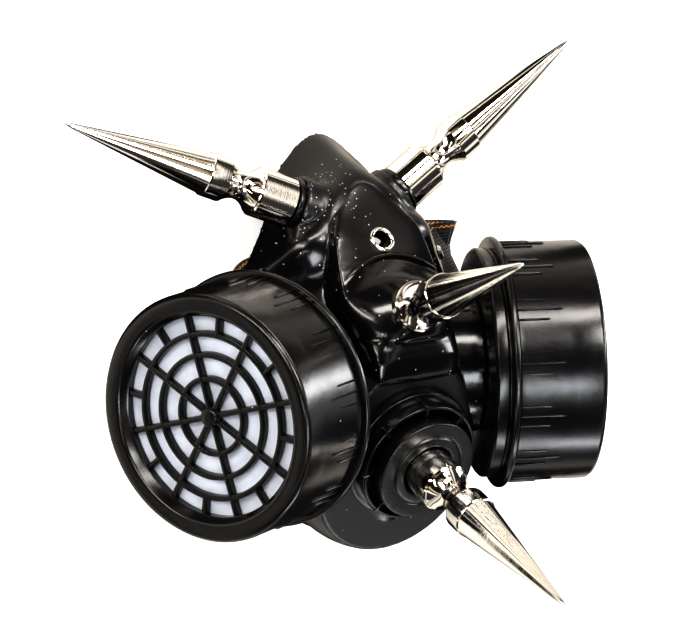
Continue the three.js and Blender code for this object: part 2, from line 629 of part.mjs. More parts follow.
function grilleGeometry() {
  const rim = GRILLE_RADIUS + DRUM_WALL;
  const edge = [];
  for (let step = 0; step < DRUM_SIDES; step += 1) {
    const angle = (2 * Math.PI * step) / DRUM_SIDES;
    edge.push(new THREE.Vector2(rim * Math.cos(angle), rim * Math.sin(angle)));
  }
  const web = new THREE.Shape(edge);
  let inner = GRILLE_HUB_RADIUS;
  for (const { share, gaps, steps } of GRILLE_RINGS) {
    const outer = share * GRILLE_RADIUS - GRILLE_BAR / 2;
    const count = GRILLE_SPOKES * gaps;
    const turn = (2 * Math.PI) / count;
    const bar = GRILLE_BAR / (inner + outer);
    for (let step = 0; step < count; step += 1) {
      const start = GRILLE_TURN + step * turn;
      web.holes.push(ringSector(inner, outer, start + bar, start + turn - bar, steps));
    }
    inner = outer + GRILLE_BAR;
  }
  return new THREE.ExtrudeGeometry(web, { depth: GRILLE_THICKNESS, bevelEnabled: false });
}

// Cap of a drum, with its rolled front rim, its web grille and its grip ribs. Z is the drum's axis
// and its front edge plane is at zero.
function capGeometry() {
  const inside = DRUM_RADIUS - DRUM_WALL;
  const face = -GRILLE_DROP;
  const opening = GRILLE_RADIUS - GRILLE_BAR / 2;
  const shell = turned([
    [opening, face - GRILLE_THICKNESS], [inside, face - GRILLE_THICKNESS], [inside, -DRUM_LENGTH],
    [DRUM_RADIUS, -DRUM_LENGTH], [DRUM_RADIUS, -0.9 * CAP_ROUND],
    [DRUM_RADIUS - 0.3 * CAP_ROUND, -0.25 * CAP_ROUND], [DRUM_RADIUS - CAP_ROUND, 0],
    [GRILLE_RADIUS + 0.6 * CAP_ROUND, 0], [GRILLE_RADIUS + 0.1 * CAP_ROUND, -0.25 * CAP_ROUND],
    [opening, face], [opening, face - GRILLE_THICKNESS],
  ], DRUM_SIDES);
  const web = grilleGeometry();
  web.translate(0, 0, face - GRILLE_THICKNESS);
  const hub = disc(GRILLE_HUB_RADIUS, face - GRILLE_THICKNESS, face + GRILLE_HUB_RISE, SMALL_SIDES);
  const ribs = [];
  for (let group = 0; group < GRIP_GROUPS; group += 1) {
    const rib = new THREE.BoxGeometry(2 * GRIP_HEIGHT, GRIP_WIDTH, GRIP_LENGTH);
    rib.translate(DRUM_RADIUS - 0.4 * GRIP_HEIGHT, 0, -DRUM_LENGTH + GRIP_LENGTH / 2);
    rib.rotateZ((2 * Math.PI * (group + 0.5)) / GRIP_GROUPS);
    ribs.push(solid(rib));
  }
  return geometryOf(join([solid(shell), solid(web), solid(hub), ...ribs]));
}

function padGeometry() {
  const top = -(GRILLE_DROP + GRILLE_THICKNESS + GAP);
  return disc(DRUM_RADIUS - DRUM_WALL - GAP, top - PAD_THICKNESS, top, DRUM_SIDES);
}

// Back housing of a drum: a lip behind the cap, a shallow cup and the neck that plugs into the cheek.
function housingGeometry() {
  const lip = -DRUM_LENGTH - GAP;
  const back = HOUSING_BACK;
  const inside = DRUM_RADIUS - DRUM_WALL - GAP;
  const bore = NECK_RADIUS - DRUM_WALL;
  const lipBack = lip - DRUM_LIP_LENGTH + GAP;
  return turned([
    [inside - DRUM_WALL, lip + SPIGOT_LENGTH], [inside - DRUM_WALL, back + DRUM_WALL],
    [bore, back + DRUM_WALL], [bore, back - NECK_LENGTH],
    [NECK_RADIUS, back - NECK_LENGTH], [NECK_RADIUS, back],
    [HOUSING_RADIUS - HOUSING_ROUND, back], [HOUSING_RADIUS, back + 0.8 * HOUSING_ROUND],
    [HOUSING_RADIUS, lipBack], [DRUM_LIP_RADIUS - LIP_CHAMFER, lipBack], [DRUM_LIP_RADIUS, lip],
    [inside, lip], [inside, lip + SPIGOT_LENGTH], [inside - DRUM_WALL, lip + SPIGOT_LENGTH],
  ], DRUM_SIDES);
}

// Valve body on its seat: a core, a notched ring round it and the ribs between them.
function valveBodyGeometry() {
  const foot = GAP;
  const seatTop = foot + SEAT_HEIGHT;
  const ringTop = seatTop + NUT_HEIGHT;
  const seat = turned([
    [0, foot], [SEAT_RADIUS, foot], [SEAT_RADIUS, seatTop - SEAT_CHAMFER],
    [SEAT_RADIUS - SEAT_CHAMFER, seatTop], [0, seatTop],
  ], VALVE_SIDES);
  const stub = disc(VALVE_STUB_RADIUS, -VALVE_STUB_LENGTH, seatTop, VALVE_SIDES);
  const core = disc(VALVE_CORE_RADIUS, foot, ringTop, VALVE_SIDES);
  const ring = tube(NUT_RADIUS, NUT_RADIUS - NUT_WALL, foot, ringTop, VALVE_SIDES);
  const ribs = [];
  for (let step = 0; step < NUT_RIBS; step += 1) {
    const length = NUT_RADIUS - VALVE_CORE_RADIUS + NUT_RIB_BITE;
    const rib = new THREE.BoxGeometry(length, NUT_RIB_WIDTH, ringTop - foot);
    rib.translate((NUT_RADIUS + VALVE_CORE_RADIUS) / 2, 0, (ringTop + foot) / 2);
    rib.rotateZ((2 * Math.PI * (step + 0.5)) / NUT_RIBS);
    ribs.push(solid(rib));
  }
  return geometryOf(join([solid(seat), solid(stub), solid(core), solid(ring), ...ribs]));
}

const VALVE_CAP_FOOT = SEAT_HEIGHT + NUT_HEIGHT + 2 * GAP;
const VALVE_CAP_TOP = VALVE_CAP_FOOT + VALVE_CAP_THICKNESS;

function valveCapGeometry() {
  const hole = SPIKE_COLLAR_RADIUS + GAP;
  const low = VALVE_CAP_TOP - SPIKE_SINK - GAP;
  return turned([
    [0, VALVE_CAP_FOOT], [VALVE_CAP_RADIUS, VALVE_CAP_FOOT],
    [VALVE_CAP_RADIUS, VALVE_CAP_TOP - VALVE_CAP_CHAMFER],
    [VALVE_CAP_RADIUS - VALVE_CAP_CHAMFER, VALVE_CAP_TOP], [VALVE_STEP_RADIUS, VALVE_CAP_TOP],
    [VALVE_STEP_RADIUS, VALVE_CAP_TOP + VALVE_STEP_HEIGHT], [hole, VALVE_CAP_TOP + VALVE_STEP_HEIGHT],
    [hole, low], [0, low],
  ], VALVE_SIDES);
}

// Eyelet: a rolled rim outside, a barrel through the wall and a turned edge inside.
function eyeletGeometry() {
  const barrel = EYELET_HOLE_RADIUS + EYELET_WALL;
  const turnedEdge = barrel + EYELET_TURN_WIDTH;
  const back = -EYELET_DEPTH - EYELET_TURN_THICKNESS;
  const rim = GAP + EYELET_RIM;
  return turned([
    [EYELET_HOLE_RADIUS, back], [turnedEdge, back],
    [turnedEdge, -EYELET_DEPTH], [barrel, -EYELET_DEPTH],
    [barrel, GAP], [EYELET_RADIUS, GAP],
    [EYELET_RADIUS, rim - EYELET_ROUND], [EYELET_RADIUS - EYELET_ROUND, rim],
    [EYELET_HOLE_RADIUS + EYELET_ROUND, rim], [EYELET_HOLE_RADIUS, rim - EYELET_ROUND],
    [EYELET_HOLE_RADIUS, back],
  ], SMALL_SIDES);
}

// The strap's lean at a share of the way from its route's first row to its last.
function strapLean(share) {
  const place = share * (STRAP_ROUTE.length - 1);
  const row = Math.min(Math.floor(place), STRAP_ROUTE.length - 2);
  const next = STRAP_ROUTE[row + 1];
  return degrees(THREE.MathUtils.lerp(STRAP_ROUTE[row].lean, next.lean, place - row));
}

// Strap: a flat band along its route, turning from upright onto its edge inside the mask.
function strapGeometry() {
  const places = STRAP_ROUTE.map(({ wide, deep, high }) => new THREE.Vector3(
    wide * FACE_HALF_WIDTH, deep * REST_DEPTH, high * (high > 0 ? NOSE_RISE : CHIN_DROP),
  ));
  const route = new THREE.CatmullRomCurve3(places, false, "centripetal");
  const steps = (STRAP_ROUTE.length - 1) * STRAP_STEPS;
  const rings = [];
  for (let step = 0; step <= steps; step += 1) {
    const share = step / steps;
    const point = route.getPoint(share);
    const tangent = route.getTangent(share);
    const lean = strapLean(share);
    const width = new THREE.Vector3(0, Math.sin(lean), Math.cos(lean));
    width.addScaledVector(tangent, -width.dot(tangent)).setLength(STRAP_WIDTH / 2);
    const normal = new THREE.Vector3().crossVectors(tangent, width).setLength(STRAP_THICKNESS / 2);
    const edge = (across) => point.clone().addScaledVector(width, across);
    const near = [edge(-1).sub(normal), edge(1).sub(normal)];
    const far = [edge(1).add(normal), edge(-1).add(normal)];
    rings.push([...near, ...far]);
  }
  const middle = (ring) => ring.reduce((sum, p) => sum.add(p), new THREE.Vector3()).multiplyScalar(0.25);
  const band = ringLoft(rings, middle(rings[0]), middle(rings[steps]));
  return geometryOf(SIDES.reduce((body, { sign }) => body.subtract(rivetHole(sign)), band));
}

function rivetGeometry() {
  const outside = GAP;
  const inside = -RIVET_DEPTH;
  return turned([
    [0, inside - RIVET_HEAD], [RIVET_HEAD_RADIUS, inside - RIVET_HEAD], [RIVET_HEAD_RADIUS, inside],
    [RIVET_RADIUS, inside], [RIVET_RADIUS, outside], [RIVET_HEAD_RADIUS, outside],
    [0.7 * RIVET_HEAD_RADIUS, outside + RIVET_HEAD], [0, outside + RIVET_HEAD],
  ], SMALL_SIDES);
}

// Assembly, upright
const mask = new THREE.Group();

function add(name, geometry, material, place) {
  const mesh = pieceMesh(name, geometry, material);
  if (place) place.decompose(mesh.position, mesh.quaternion, mesh.scale);
  mask.add(mesh);
}

add("facepiece", facepieceGeometry(), RUBBER);
for (const { name, sign } of SIDES) {
  const place = drumPlace(sign, 0);
  add(`drum_cap_${name}`, capGeometry(), PLASTIC, place);
  add(`drum_housing_${name}`, housingGeometry(), PLASTIC, place);
  add(`filter_pad_${name}`, padGeometry(), FELT, place);
  const rivet = rivetPlace(sign);
  add(`strap_rivet_${name}`, rivetGeometry(), STEEL, along(rivet.point, rivet.normal));
}
for (const { name, sign, lean, rise } of SIDE_SPIKES) {
  const direction = spikeDirection(sign, lean, rise);
  add(name, spikeGeometry(), STEEL, along(sideSpikeFoot(sign), direction));
  const foot = sideSpikeFoot(sign).addScaledVector(direction, -GAP - WASHER_THICKNESS);
  const washer = disc(WASHER_RADIUS, 0, WASHER_THICKNESS, SPIKE_SIDES);
  add(name.replace("spike", "spike_washer"), washer, PLASTIC, along(foot, direction));
}
const middleFoot = MIDDLE_SEAT.clone().addScaledVector(MIDDLE_AXIS, -MIDDLE_SPIKE_SINK);
add("spike_middle", spikeGeometry(), STEEL, along(middleFoot, MIDDLE_AXIS));
add("valve_body", valveBodyGeometry(), PLASTIC, along(VALVE_CENTRE, VALVE_AXIS));
add("valve_cap", valveCapGeometry(), PLASTIC, along(VALVE_CENTRE, VALVE_AXIS));
const valveFoot = VALVE_CENTRE.clone().addScaledVector(VALVE_AXIS, VALVE_CAP_TOP - SPIKE_SINK);
add("spike_valve", spikeGeometry(), STEEL, along(valveFoot, VALVE_AXIS));
add("eyelet", eyeletGeometry(), STEEL, along(EYELET_POINT, EYELET_AXIS));
add("strap", strapGeometry(), WEBBING);

// Laid down: the back of the mask turns to the floor and the nose points away from the front.
mask.rotation.x = -Math.PI / 2;
const part = new THREE.Group();
part.add(mask);
part.updateMatrixWorld(true);
const bounds = new THREE.Box3().setFromObject(part, true);
const middle = bounds.getCenter(new THREE.Vector3());
part.position.set(-middle.x, -middle.y, -bounds.min.z);

export default part;
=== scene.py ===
"""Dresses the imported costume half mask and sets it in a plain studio.

The mask is shaped upright, as it is worn, in millimetres: X to its left, Y to the back of the head,
Z up, from the point midway between the outer faces of the drums. MaskFrame lays it on its rim, in the
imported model's frame and in metres.
"""

import logging
import math
from dataclasses import dataclass, field
from enum import Enum

import bmesh
import bpy
import numpy as np
from mathutils import Matrix, Vector
from mathutils.bvhtree import BVHTree

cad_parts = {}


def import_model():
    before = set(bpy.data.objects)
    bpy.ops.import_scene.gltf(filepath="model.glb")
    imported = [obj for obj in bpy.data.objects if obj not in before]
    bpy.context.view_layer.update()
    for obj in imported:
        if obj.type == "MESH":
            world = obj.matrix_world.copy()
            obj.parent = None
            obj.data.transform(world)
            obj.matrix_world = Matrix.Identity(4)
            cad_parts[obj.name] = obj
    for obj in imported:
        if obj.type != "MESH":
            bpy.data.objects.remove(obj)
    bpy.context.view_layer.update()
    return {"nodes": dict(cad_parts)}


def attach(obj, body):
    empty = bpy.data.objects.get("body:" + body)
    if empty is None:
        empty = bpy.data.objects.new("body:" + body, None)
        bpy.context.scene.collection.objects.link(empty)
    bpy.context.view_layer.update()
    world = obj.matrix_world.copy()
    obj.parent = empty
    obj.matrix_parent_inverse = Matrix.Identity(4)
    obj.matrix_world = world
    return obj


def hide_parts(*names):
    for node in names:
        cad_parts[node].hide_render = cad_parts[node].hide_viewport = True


LOG = logging.getLogger("mask")
MM = 0.001
BODY = "root"
GAP = 0.3
CORNER_LIMIT = 0.45
CORNER_SHARES = (0.0, 0.33, 0.67, 1.0)
BEVEL_STEPS = 2
BEVEL_ANGLE = 40.0
ON_AXIS = 1e-6
ROUND_OFF = 1e-9
SHORT_SPAN = 1e-4

Span = tuple[float, float]
Triple = tuple[float, float, float]
Pairs = list[Span]
Rows = tuple[Span, ...]


class Side(Enum):
    """The wearer's side that a piece sits on, with its sign along X."""

    RIGHT = -1
    LEFT = 1

    @property
    def word(self) -> str:
        """The side's word in a piece's name."""
        return self.name.lower()


@dataclass(frozen=True)
class MaskFrame:
    """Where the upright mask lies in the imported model's frame."""

    shift: Triple = (3.137, -23.587, 54.355)

    def place(self, points: np.ndarray) -> np.ndarray:
        """Turns upright points in millimetres into the model's frame in metres.

        Args:
            points: An array of upright points, one a row.

        Returns:
            The same points in the model's frame.
        """
        x, y, z = np.asarray(points, float).reshape(-1, 3).T
        right, ahead, rise = self.shift
        return np.column_stack((x + right, z + ahead, rise - y)) * MM

    def turn(self, direction: np.ndarray) -> Vector:
        """The model's direction for an upright one."""
        x, y, z = direction
        return Vector((x, z, -y))


FRAME = MaskFrame()


def unit(vector: np.ndarray) -> np.ndarray:
    """The vector at length one."""
    vector = np.asarray(vector, float)
    return vector / np.linalg.norm(vector)


@dataclass(frozen=True)
class Seat:
    """A local frame of the upright mask: Z runs along the axis and Y stays as near up as it can."""

    point: Triple
    axis: Triple
    up: Triple = (0.0, 0.0, 1.0)

    def apply(self, points: np.ndarray) -> np.ndarray:
        """Moves points out of this frame.

        Args:
            points: An array of local points, one a row.

        Returns:
            The same points, in the upright mask's millimetres.
        """
        z = unit(self.axis)
        x = unit(np.cross(self.up, z))
        y = np.cross(z, x)
        local = np.asarray(points, float).reshape(-1, 3)
        return np.asarray(self.point) + local @ np.vstack((x, y, z))

    def moved(self, distance: float) -> "Seat":
        """The same frame, further along its axis."""
        point = np.asarray(self.point) + unit(self.axis) * distance
        return Seat(tuple(point), self.axis, self.up)


@dataclass
class Shape:
    """Points with faces between them, and a pair of pattern coordinates at each face corner."""

    points: np.ndarray
    faces: list[tuple[int, ...]]
    corners: Pairs = field(default_factory=list)

    def seated(self, seat: Seat) -> "Shape":
        """The shape in a local frame of the upright mask."""
        return Shape(seat.apply(self.points), self.faces, self.corners)

    def joined(self, other: "Shape") -> "Shape":
        """This shape and another one, as loose parts of one mesh."""
        shift = len(self.points)
        faces = self.faces + [tuple(index + shift for index in face) for face in other.faces]
        return Shape(np.vstack((self.points, other.points)), faces, self.corners + other.corners)


def rounded(rows: Pairs, radius: float, closed: bool = False) -> Pairs:
    """Rounds the corners of an outline.

    Args:
        rows: The outline's corners, as radius and height.
        radius: How far before and after each corner the rounding starts.
        closed: Whether the last corner is followed by the first.

    Returns:
        The outline with four short steps in place of each corner.
    """
    points = [np.asarray(row, float) for row in rows]
    count = len(points)
    result = []
    for index, corner in enumerate(points):
        if not closed and index in (0, count - 1):
            result.append(corner)
            continue
        before, after = points[index - 1], points[(index + 1) % count]
        back, ahead = before - corner, after - corner
        reach = min(radius, CORNER_LIMIT * np.linalg.norm(back), CORNER_LIMIT * np.linalg.norm(ahead))
        start, end = corner + unit(back) * reach, corner + unit(ahead) * reach
        for share in CORNER_SHARES:
            bend = (1 - share) ** 2 * start + 2 * share * (1 - share) * corner + share**2 * end
            result.append(bend)
    return [(float(away), float(height)) for away, height in result]


def turned(rows: Pairs, sides: int, closed: bool = False) -> Shape:
    """A solid of revolution round local Z.

    Args:
        rows: The outline as radius and height, from the axis out and back, or a closed loop.
        sides: The number of steps round the axis.
        closed: Whether the outline is a loop clear of the axis.

    Returns:
        The shape, with turns and millimetres along the outline as pattern coordinates.
    """
    outline = list(rows) + ([rows[0]] if closed else [])
    lengths = [0.0]
    for (r0, h0), (r1, h1) in zip(outline, outline[1:]):
        lengths.append(lengths[-1] + math.hypot(r1 - r0, h1 - h0))
    points: list[Triple] = []
    rings: list[list[int]] = []
    for radius, height in rows:
        if radius < ON_AXIS:
            points.append((0.0, 0.0, height))
            rings.append([len(points) - 1] * sides)
            continue
        start = len(points)
        for step in range(sides):
            angle = 2 * math.pi * step / sides
            points.append((radius * math.cos(angle), radius * math.sin(angle), height))
        rings.append(list(range(start, start + sides)))
    if closed:
        rings.append(rings[0])
    faces, corners = [], []
    for row, (ring, following) in enumerate(zip(rings, rings[1:])):
        for step in range(sides):
            after = (step + 1) % sides
            face = [ring[step], ring[after], following[after], following[step]]
            places = [(step, row), (step + 1, row), (step + 1, row + 1), (step, row + 1)]
            kept = [k for k in range(4) if face[k] != face[k - 1]]
            faces.append(tuple(face[k] for k in kept))
            corners += [(places[k][0] / sides, lengths[places[k][1]]) for k in kept]
    return Shape(np.asarray(points), faces, corners)


def rod(radius: float, low: float, high: float, sides: int) -> Shape:
    """A plain round rod along local Z, between two heights."""
    return turned([(0, low), (radius, low), (radius, high), (0, high)], sides)


def lofted(rings: np.ndarray, first: np.ndarray | None, last: np.ndarray | None) -> Shape:
    """Closed rings of equal count as one skin.

    Args:
        rings: An array of rings, steps and coordinates.
        first: The point that closes the first ring, or None to leave it flat.
        last: The point that closes the last ring, or None to leave it flat.

    Returns:
        The closed shape, with its faces pointing outwards.
    """
    rows, count = rings.shape[:2]
    points = rings.reshape(-1, 3)
    faces: list[tuple[int, ...]] = []
    for row in range(rows - 1):
        for step in range(count):
            after = (step + 1) % count
            faces.append((row * count + step, row * count + after,
                          (row + 1) * count + after, (row + 1) * count + step))
    low = list(range(count))
    high = [(rows - 1) * count + step for step in range(count)]
    for ring, tip, turn in ((low, first, 1), (high, last, -1)):
        if tip is None:
            faces.append(tuple(ring[::-turn]))
            continue
        points = np.vstack((points, tip))
        end = len(points) - 1
        for step in range(count):
            edge = (ring[(step + 1) % count], ring[step])[::turn]
            faces.append((end, *edge))
    shape = Shape(points, faces)
    if signed_volume(shape) < 0:
        shape.faces = [face[::-1] for face in shape.faces]
    return shape


def signed_volume(shape: Shape) -> float:
    """Six times the volume inside a closed shape.

    Args:
        shape: The shape.

    Returns:
        The volume, negative where the faces point inwards.
    """
    total = 0.0
    for face in shape.faces:
        origin = shape.points[face[0]]
        for second, third in zip(face[1:], face[2:]):
            total += float(np.dot(origin, np.cross(shape.points[second], shape.points[third])))
    return total


def catmull(points: np.ndarray, shares: np.ndarray, closed: bool) -> np.ndarray:
    """Points along a centripetal Catmull-Rom curve.

    Args:
        points: The points that the curve passes through.
        shares: Shares of the way along the curve, by its spans.
        closed: Whether the curve runs on from the last point to the first.

    Returns:
        One point a share.
    """
    known = np.asarray(points, float)
    count = len(known)
    spans = count if closed else count - 1
    result = []
    for share in shares:
        place = spans * share
        index = int(math.floor(place + ROUND_OFF))
        weight = place - index
        if closed:
            index %= count
        elif index >= count - 1:
            index, weight = count - 2, 1.0
        start, end = known[index], known[(index + 1) % count]
        before = known[index - 1] if closed or index > 0 else 2 * known[0] - known[1]
        after = known[(index + 2) % count] if closed or index + 2 < count else 2 * known[-1] - known[-2]
        gaps = [math.sqrt(np.linalg.norm(b - a)) for a, b in ((before, start), (start, end), (end, after))]
        middle = gaps[1] if gaps[1] > SHORT_SPAN else 1.0
        near = gaps[0] if gaps[0] > SHORT_SPAN else middle
        far = gaps[2] if gaps[2] > SHORT_SPAN else middle
        leave = (start - before) / near - (end - before) / (near + middle) + (end - start) / middle
        reach = (end - start) / middle - (after - start) / (middle + far) + (after - end) / far
        leave, reach = leave * middle, reach * middle
        square, cube = weight**2, weight**3
        bend = (-3 * start + 3 * end - 2 * leave - reach) * square
        bend += (2 * start - 2 * end + leave + reach) * cube
        result.append(start + leave * weight + bend)
    return np.asarray(result)


def mesh_from(name: str, shape: Shape, place: bool = True) -> bpy.types.Mesh:
    """Makes a mesh of a shape.

    Args:
        name: The mesh's name.
        shape: The shape, in the upright mask's millimetres.
        place: Whether to lay it in the model's frame, or keep it in metres where it is.

    Returns:
        The mesh, with its pattern coordinates in a map named Pattern.
    """
    points = FRAME.place(shape.points) if place else shape.points * MM
    mesh = bpy.data.meshes.new(name)
    mesh.from_pydata(points.tolist(), [], [list(face) for face in shape.faces])
    if len(shape.corners) == len(mesh.loops):
        layer = mesh.uv_layers.new(name="Pattern")
        layer.data.foreach_set("uv", np.asarray(shape.corners, float).ravel())
    mesh.validate()
    return mesh


def finish_mesh(mesh: bpy.types.Mesh, angle: float) -> None:
    """Shades a mesh smooth up to an angle in degrees between its faces."""
    mesh.shade_smooth()
    mesh.set_sharp_from_angle(angle=math.radians(angle))
    mesh.update()


def add_object(name: str, mesh: bpy.types.Mesh) -> bpy.types.Object:
    """Links a new object for a mesh at the origin."""
    thing = bpy.data.objects.new(name, mesh)
    bpy.context.scene.collection.objects.link(thing)
    return thing


def evaluated(thing: bpy.types.Object, name: str) -> bpy.types.Mesh:
    """The plain mesh that an object's modifiers give, and the object is removed.

    Args:
        thing: The object with its modifiers.
        name: The new mesh's name.

    Returns:
        The mesh.
    """
    graph = bpy.context.evaluated_depsgraph_get()
    mesh = bpy.data.meshes.new_from_object(thing.evaluated_get(graph), depsgraph=graph)
    mesh.name = name
    bpy.data.objects.remove(thing)
    return mesh


def merged(name: str, meshes: list[bpy.types.Mesh]) -> bpy.types.Mesh:
    """Puts several meshes into one, keeping the material of each.

    Args:
        name: The new mesh's name.
        meshes: The meshes, each with one material.

    Returns:
        The mesh with every part in it.
    """
    build = bmesh.new()
    materials: list[bpy.types.Material] = []
    for mesh in meshes:
        start = len(build.faces)
        build.from_mesh(mesh)
        build.faces.ensure_lookup_table()
        own = list(mesh.materials) or [None]
        for material in own:
            if material not in materials:
                materials.append(material)
        for face in build.faces[start:]:
            face.material_index = materials.index(own[min(face.material_index, len(own) - 1)])
    whole = bpy.data.meshes.new(name)
    build.to_mesh(whole)
    build.free()
    for material in materials:
        whole.materials.append(material)
    return whole


def deliver(name: str, mesh: bpy.types.Mesh, slot: str, *nodes: str,
            angle: float = 35.0) -> bpy.types.Object:
    """Puts a finished piece in place of its CAD nodes.

    Args:
        name: The piece's name.
        mesh: Its mesh, in the model's frame, with its material.
        slot: The record's material slot. It is not used.
        nodes: The CAD nodes that it stands for.
        angle: The largest angle between faces that is shaded smooth, in degrees.

    Returns:
        The piece.
    """
    finish_mesh(mesh, angle)
    piece = add_object(name, mesh)
    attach(piece, BODY)
    if nodes:
        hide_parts(*nodes)
    LOG.info("%s: %d faces", name, len(mesh.polygons))
    return piece


class Nodes:
    """Lays nodes in a tree and links them."""

    def __init__(self, tree: bpy.types.NodeTree) -> None:
        """Keeps the tree that the nodes go into."""
        self.tree = tree

    def node(self, kind: str, links: dict[str | int, object] | None = None,
             **settings: object) -> bpy.types.Node:
        """Adds a node.

        Args:
            kind: The node's type.
            links: An output socket or a plain value for each input, by name or number.
            settings: The node's own settings.

        Returns:
            The node.
        """
        made = self.tree.nodes.new(kind)
        for label, value in settings.items():
            setattr(made, label, value)
        for key, value in (links or {}).items():
            if isinstance(value, bpy.types.NodeSocket):
                self.tree.links.new(value, made.inputs[key])
            else:
                made.inputs[key].default_value = value
        return made

    def math(self, operation: str, *values: object) -> bpy.types.NodeSocket:
        """The result of a math node on sockets or numbers."""
        return self.node("ShaderNodeMath", dict(enumerate(values)), operation=operation).outputs[0]


class Tree(Nodes):
    """A geometry node tree while it is being built."""

    def __init__(self, name: str, inputs: dict[str, str]) -> None:
        """Starts the tree with a geometry input, the named inputs and a geometry output.

        Args:
            name: The tree's name.
            inputs: Each input's name and socket type.
        """
        super().__init__(bpy.data.node_groups.new(name, "GeometryNodeTree"))
        face = self.tree.interface
        face.new_socket(name="Geometry", in_out="INPUT", socket_type="NodeSocketGeometry")
        for label, kind in inputs.items():
            face.new_socket(name=label, in_out="INPUT", socket_type=kind)
        face.new_socket(name="Geometry", in_out="OUTPUT", socket_type="NodeSocketGeometry")
        self.entry = self.tree.nodes.new("NodeGroupInput")
        self.exit = self.tree.nodes.new("NodeGroupOutput")

    def close(self, geometry: bpy.types.NodeSocket) -> None:
        """Realizes the geometry's instances, gives it the tree's material and ends the tree.

        Args:
            geometry: The geometry's socket.
        """
        real = self.node("GeometryNodeRealizeInstances", {0: geometry}).outputs[0]
        material = self.entry.outputs["Material"]
        painted = self.node("GeometryNodeSetMaterial", {"Geometry": real, "Material": material})
        self.tree.links.new(painted.outputs[0], self.exit.inputs[0])

    def run(self, name: str, base: bpy.types.Mesh, values: dict[str, object]) -> bpy.types.Mesh:
        """Runs the tree on a mesh.

        Args:
            name: The new mesh's name.
            base: The mesh that goes in.
            values: A value for each named input.

        Returns:
            The plain mesh that comes out.
        """
        thing = add_object(name, base)
        modifier = thing.modifiers.new(name, "NODES")
        modifier.node_group = self.tree
        sockets = {item.name: item.identifier for item in self.tree.interface.items_tree
                   if item.item_type == "SOCKET" and item.in_out == "INPUT"}
        for label, value in values.items():
            modifier[sockets[label]] = value
        return evaluated(thing, name)


def ring_tree() -> Tree:
    """A tree that repeats its input geometry in groups round local Z.

    Returns:
        The tree, with inputs Groups, Members, Pitch, Turn, Side Length and Material.
    """
    tree = Tree("RingOfGroups", {
        "Groups": "NodeSocketInt", "Members": "NodeSocketInt", "Pitch": "NodeSocketFloat",
        "Turn": "NodeSocketFloat", "Side Length": "NodeSocketFloat", "Material": "NodeSocketMaterial",
    })
    take = tree.entry.outputs
    count = tree.math("MULTIPLY", take["Groups"], take["Members"])
    points = tree.node("GeometryNodePoints", {"Count": count}).outputs[0]
    index = tree.node("GeometryNodeInputIndex").outputs[0]
    group = tree.math("FLOOR", tree.math("DIVIDE", index, take["Members"]))
    member = tree.math("SUBTRACT", index, tree.math("MULTIPLY", group, take["Members"]))
    middle = tree.math("DIVIDE", tree.math("SUBTRACT", take["Members"], 1.0), 2.0)
    aside = tree.math("SUBTRACT", member, middle)
    step = tree.math("DIVIDE", 2 * math.pi, take["Groups"])
    angle = tree.math("ADD", tree.math("MULTIPLY", group, step), tree.math("MULTIPLY", aside, take["Pitch"]))
    angle = tree.math("ADD", angle, take["Turn"])
    turn = tree.node("ShaderNodeCombineXYZ", {"Z": angle}).outputs[0]
    less = tree.math("SUBTRACT", 1.0, take["Side Length"])
    shorter = tree.math("SUBTRACT", 1.0, tree.math("MULTIPLY", tree.math("ABSOLUTE", aside), less))
    size = tree.node("ShaderNodeCombineXYZ", {"X": 1.0, "Y": 1.0, "Z": shorter}).outputs[0]
    placed = tree.node("GeometryNodeInstanceOnPoints", {
        "Points": points, "Instance": take["Geometry"], "Rotation": turn, "Scale": size,
    })
    tree.close(placed.outputs[0])
    return tree


def thread_tree() -> Tree:
    """A tree that sews a zig-zag thread along a line of points.

    Returns:
        The tree, with inputs Pitch, Reach, Radius and Material. The line carries an Across direction.
    """
    tree = Tree("ZigzagThread", {
        "Pitch": "NodeSocketFloat", "Reach": "NodeSocketFloat", "Radius": "NodeSocketFloat",
        "Material": "NodeSocketMaterial",
    })
    take = tree.entry.outputs
    line = tree.node("GeometryNodeMeshToCurve", {"Mesh": take["Geometry"]}).outputs[0]
    even = tree.node("GeometryNodeResampleCurve", {"Curve": line, "Length": take["Pitch"]}, mode="LENGTH")
    index = tree.node("GeometryNodeInputIndex").outputs[0]
    sign = tree.math("SUBTRACT", tree.math("MULTIPLY", tree.math("MODULO", index, 2.0), 2.0), 1.0)
    across = tree.node("GeometryNodeInputNamedAttribute", {"Name": "Across"}, data_type="FLOAT_VECTOR")
    reach = tree.math("MULTIPLY", sign, take["Reach"])
    offset = tree.node("ShaderNodeVectorMath", {0: across.outputs[0], "Scale": reach}, operation="SCALE")
    bent = tree.node("GeometryNodeSetPosition", {"Geometry": even.outputs[0], "Offset": offset.outputs[0]})
    ring = tree.node("GeometryNodeCurvePrimitiveCircle", {"Resolution": 5, "Radius": take["Radius"]})
    tube = tree.node("GeometryNodeCurveToMesh", {
        "Curve": bent.outputs[0], "Profile Curve": ring.outputs[0], "Fill Caps": True})
    tree.close(tube.outputs[0])
    return tree


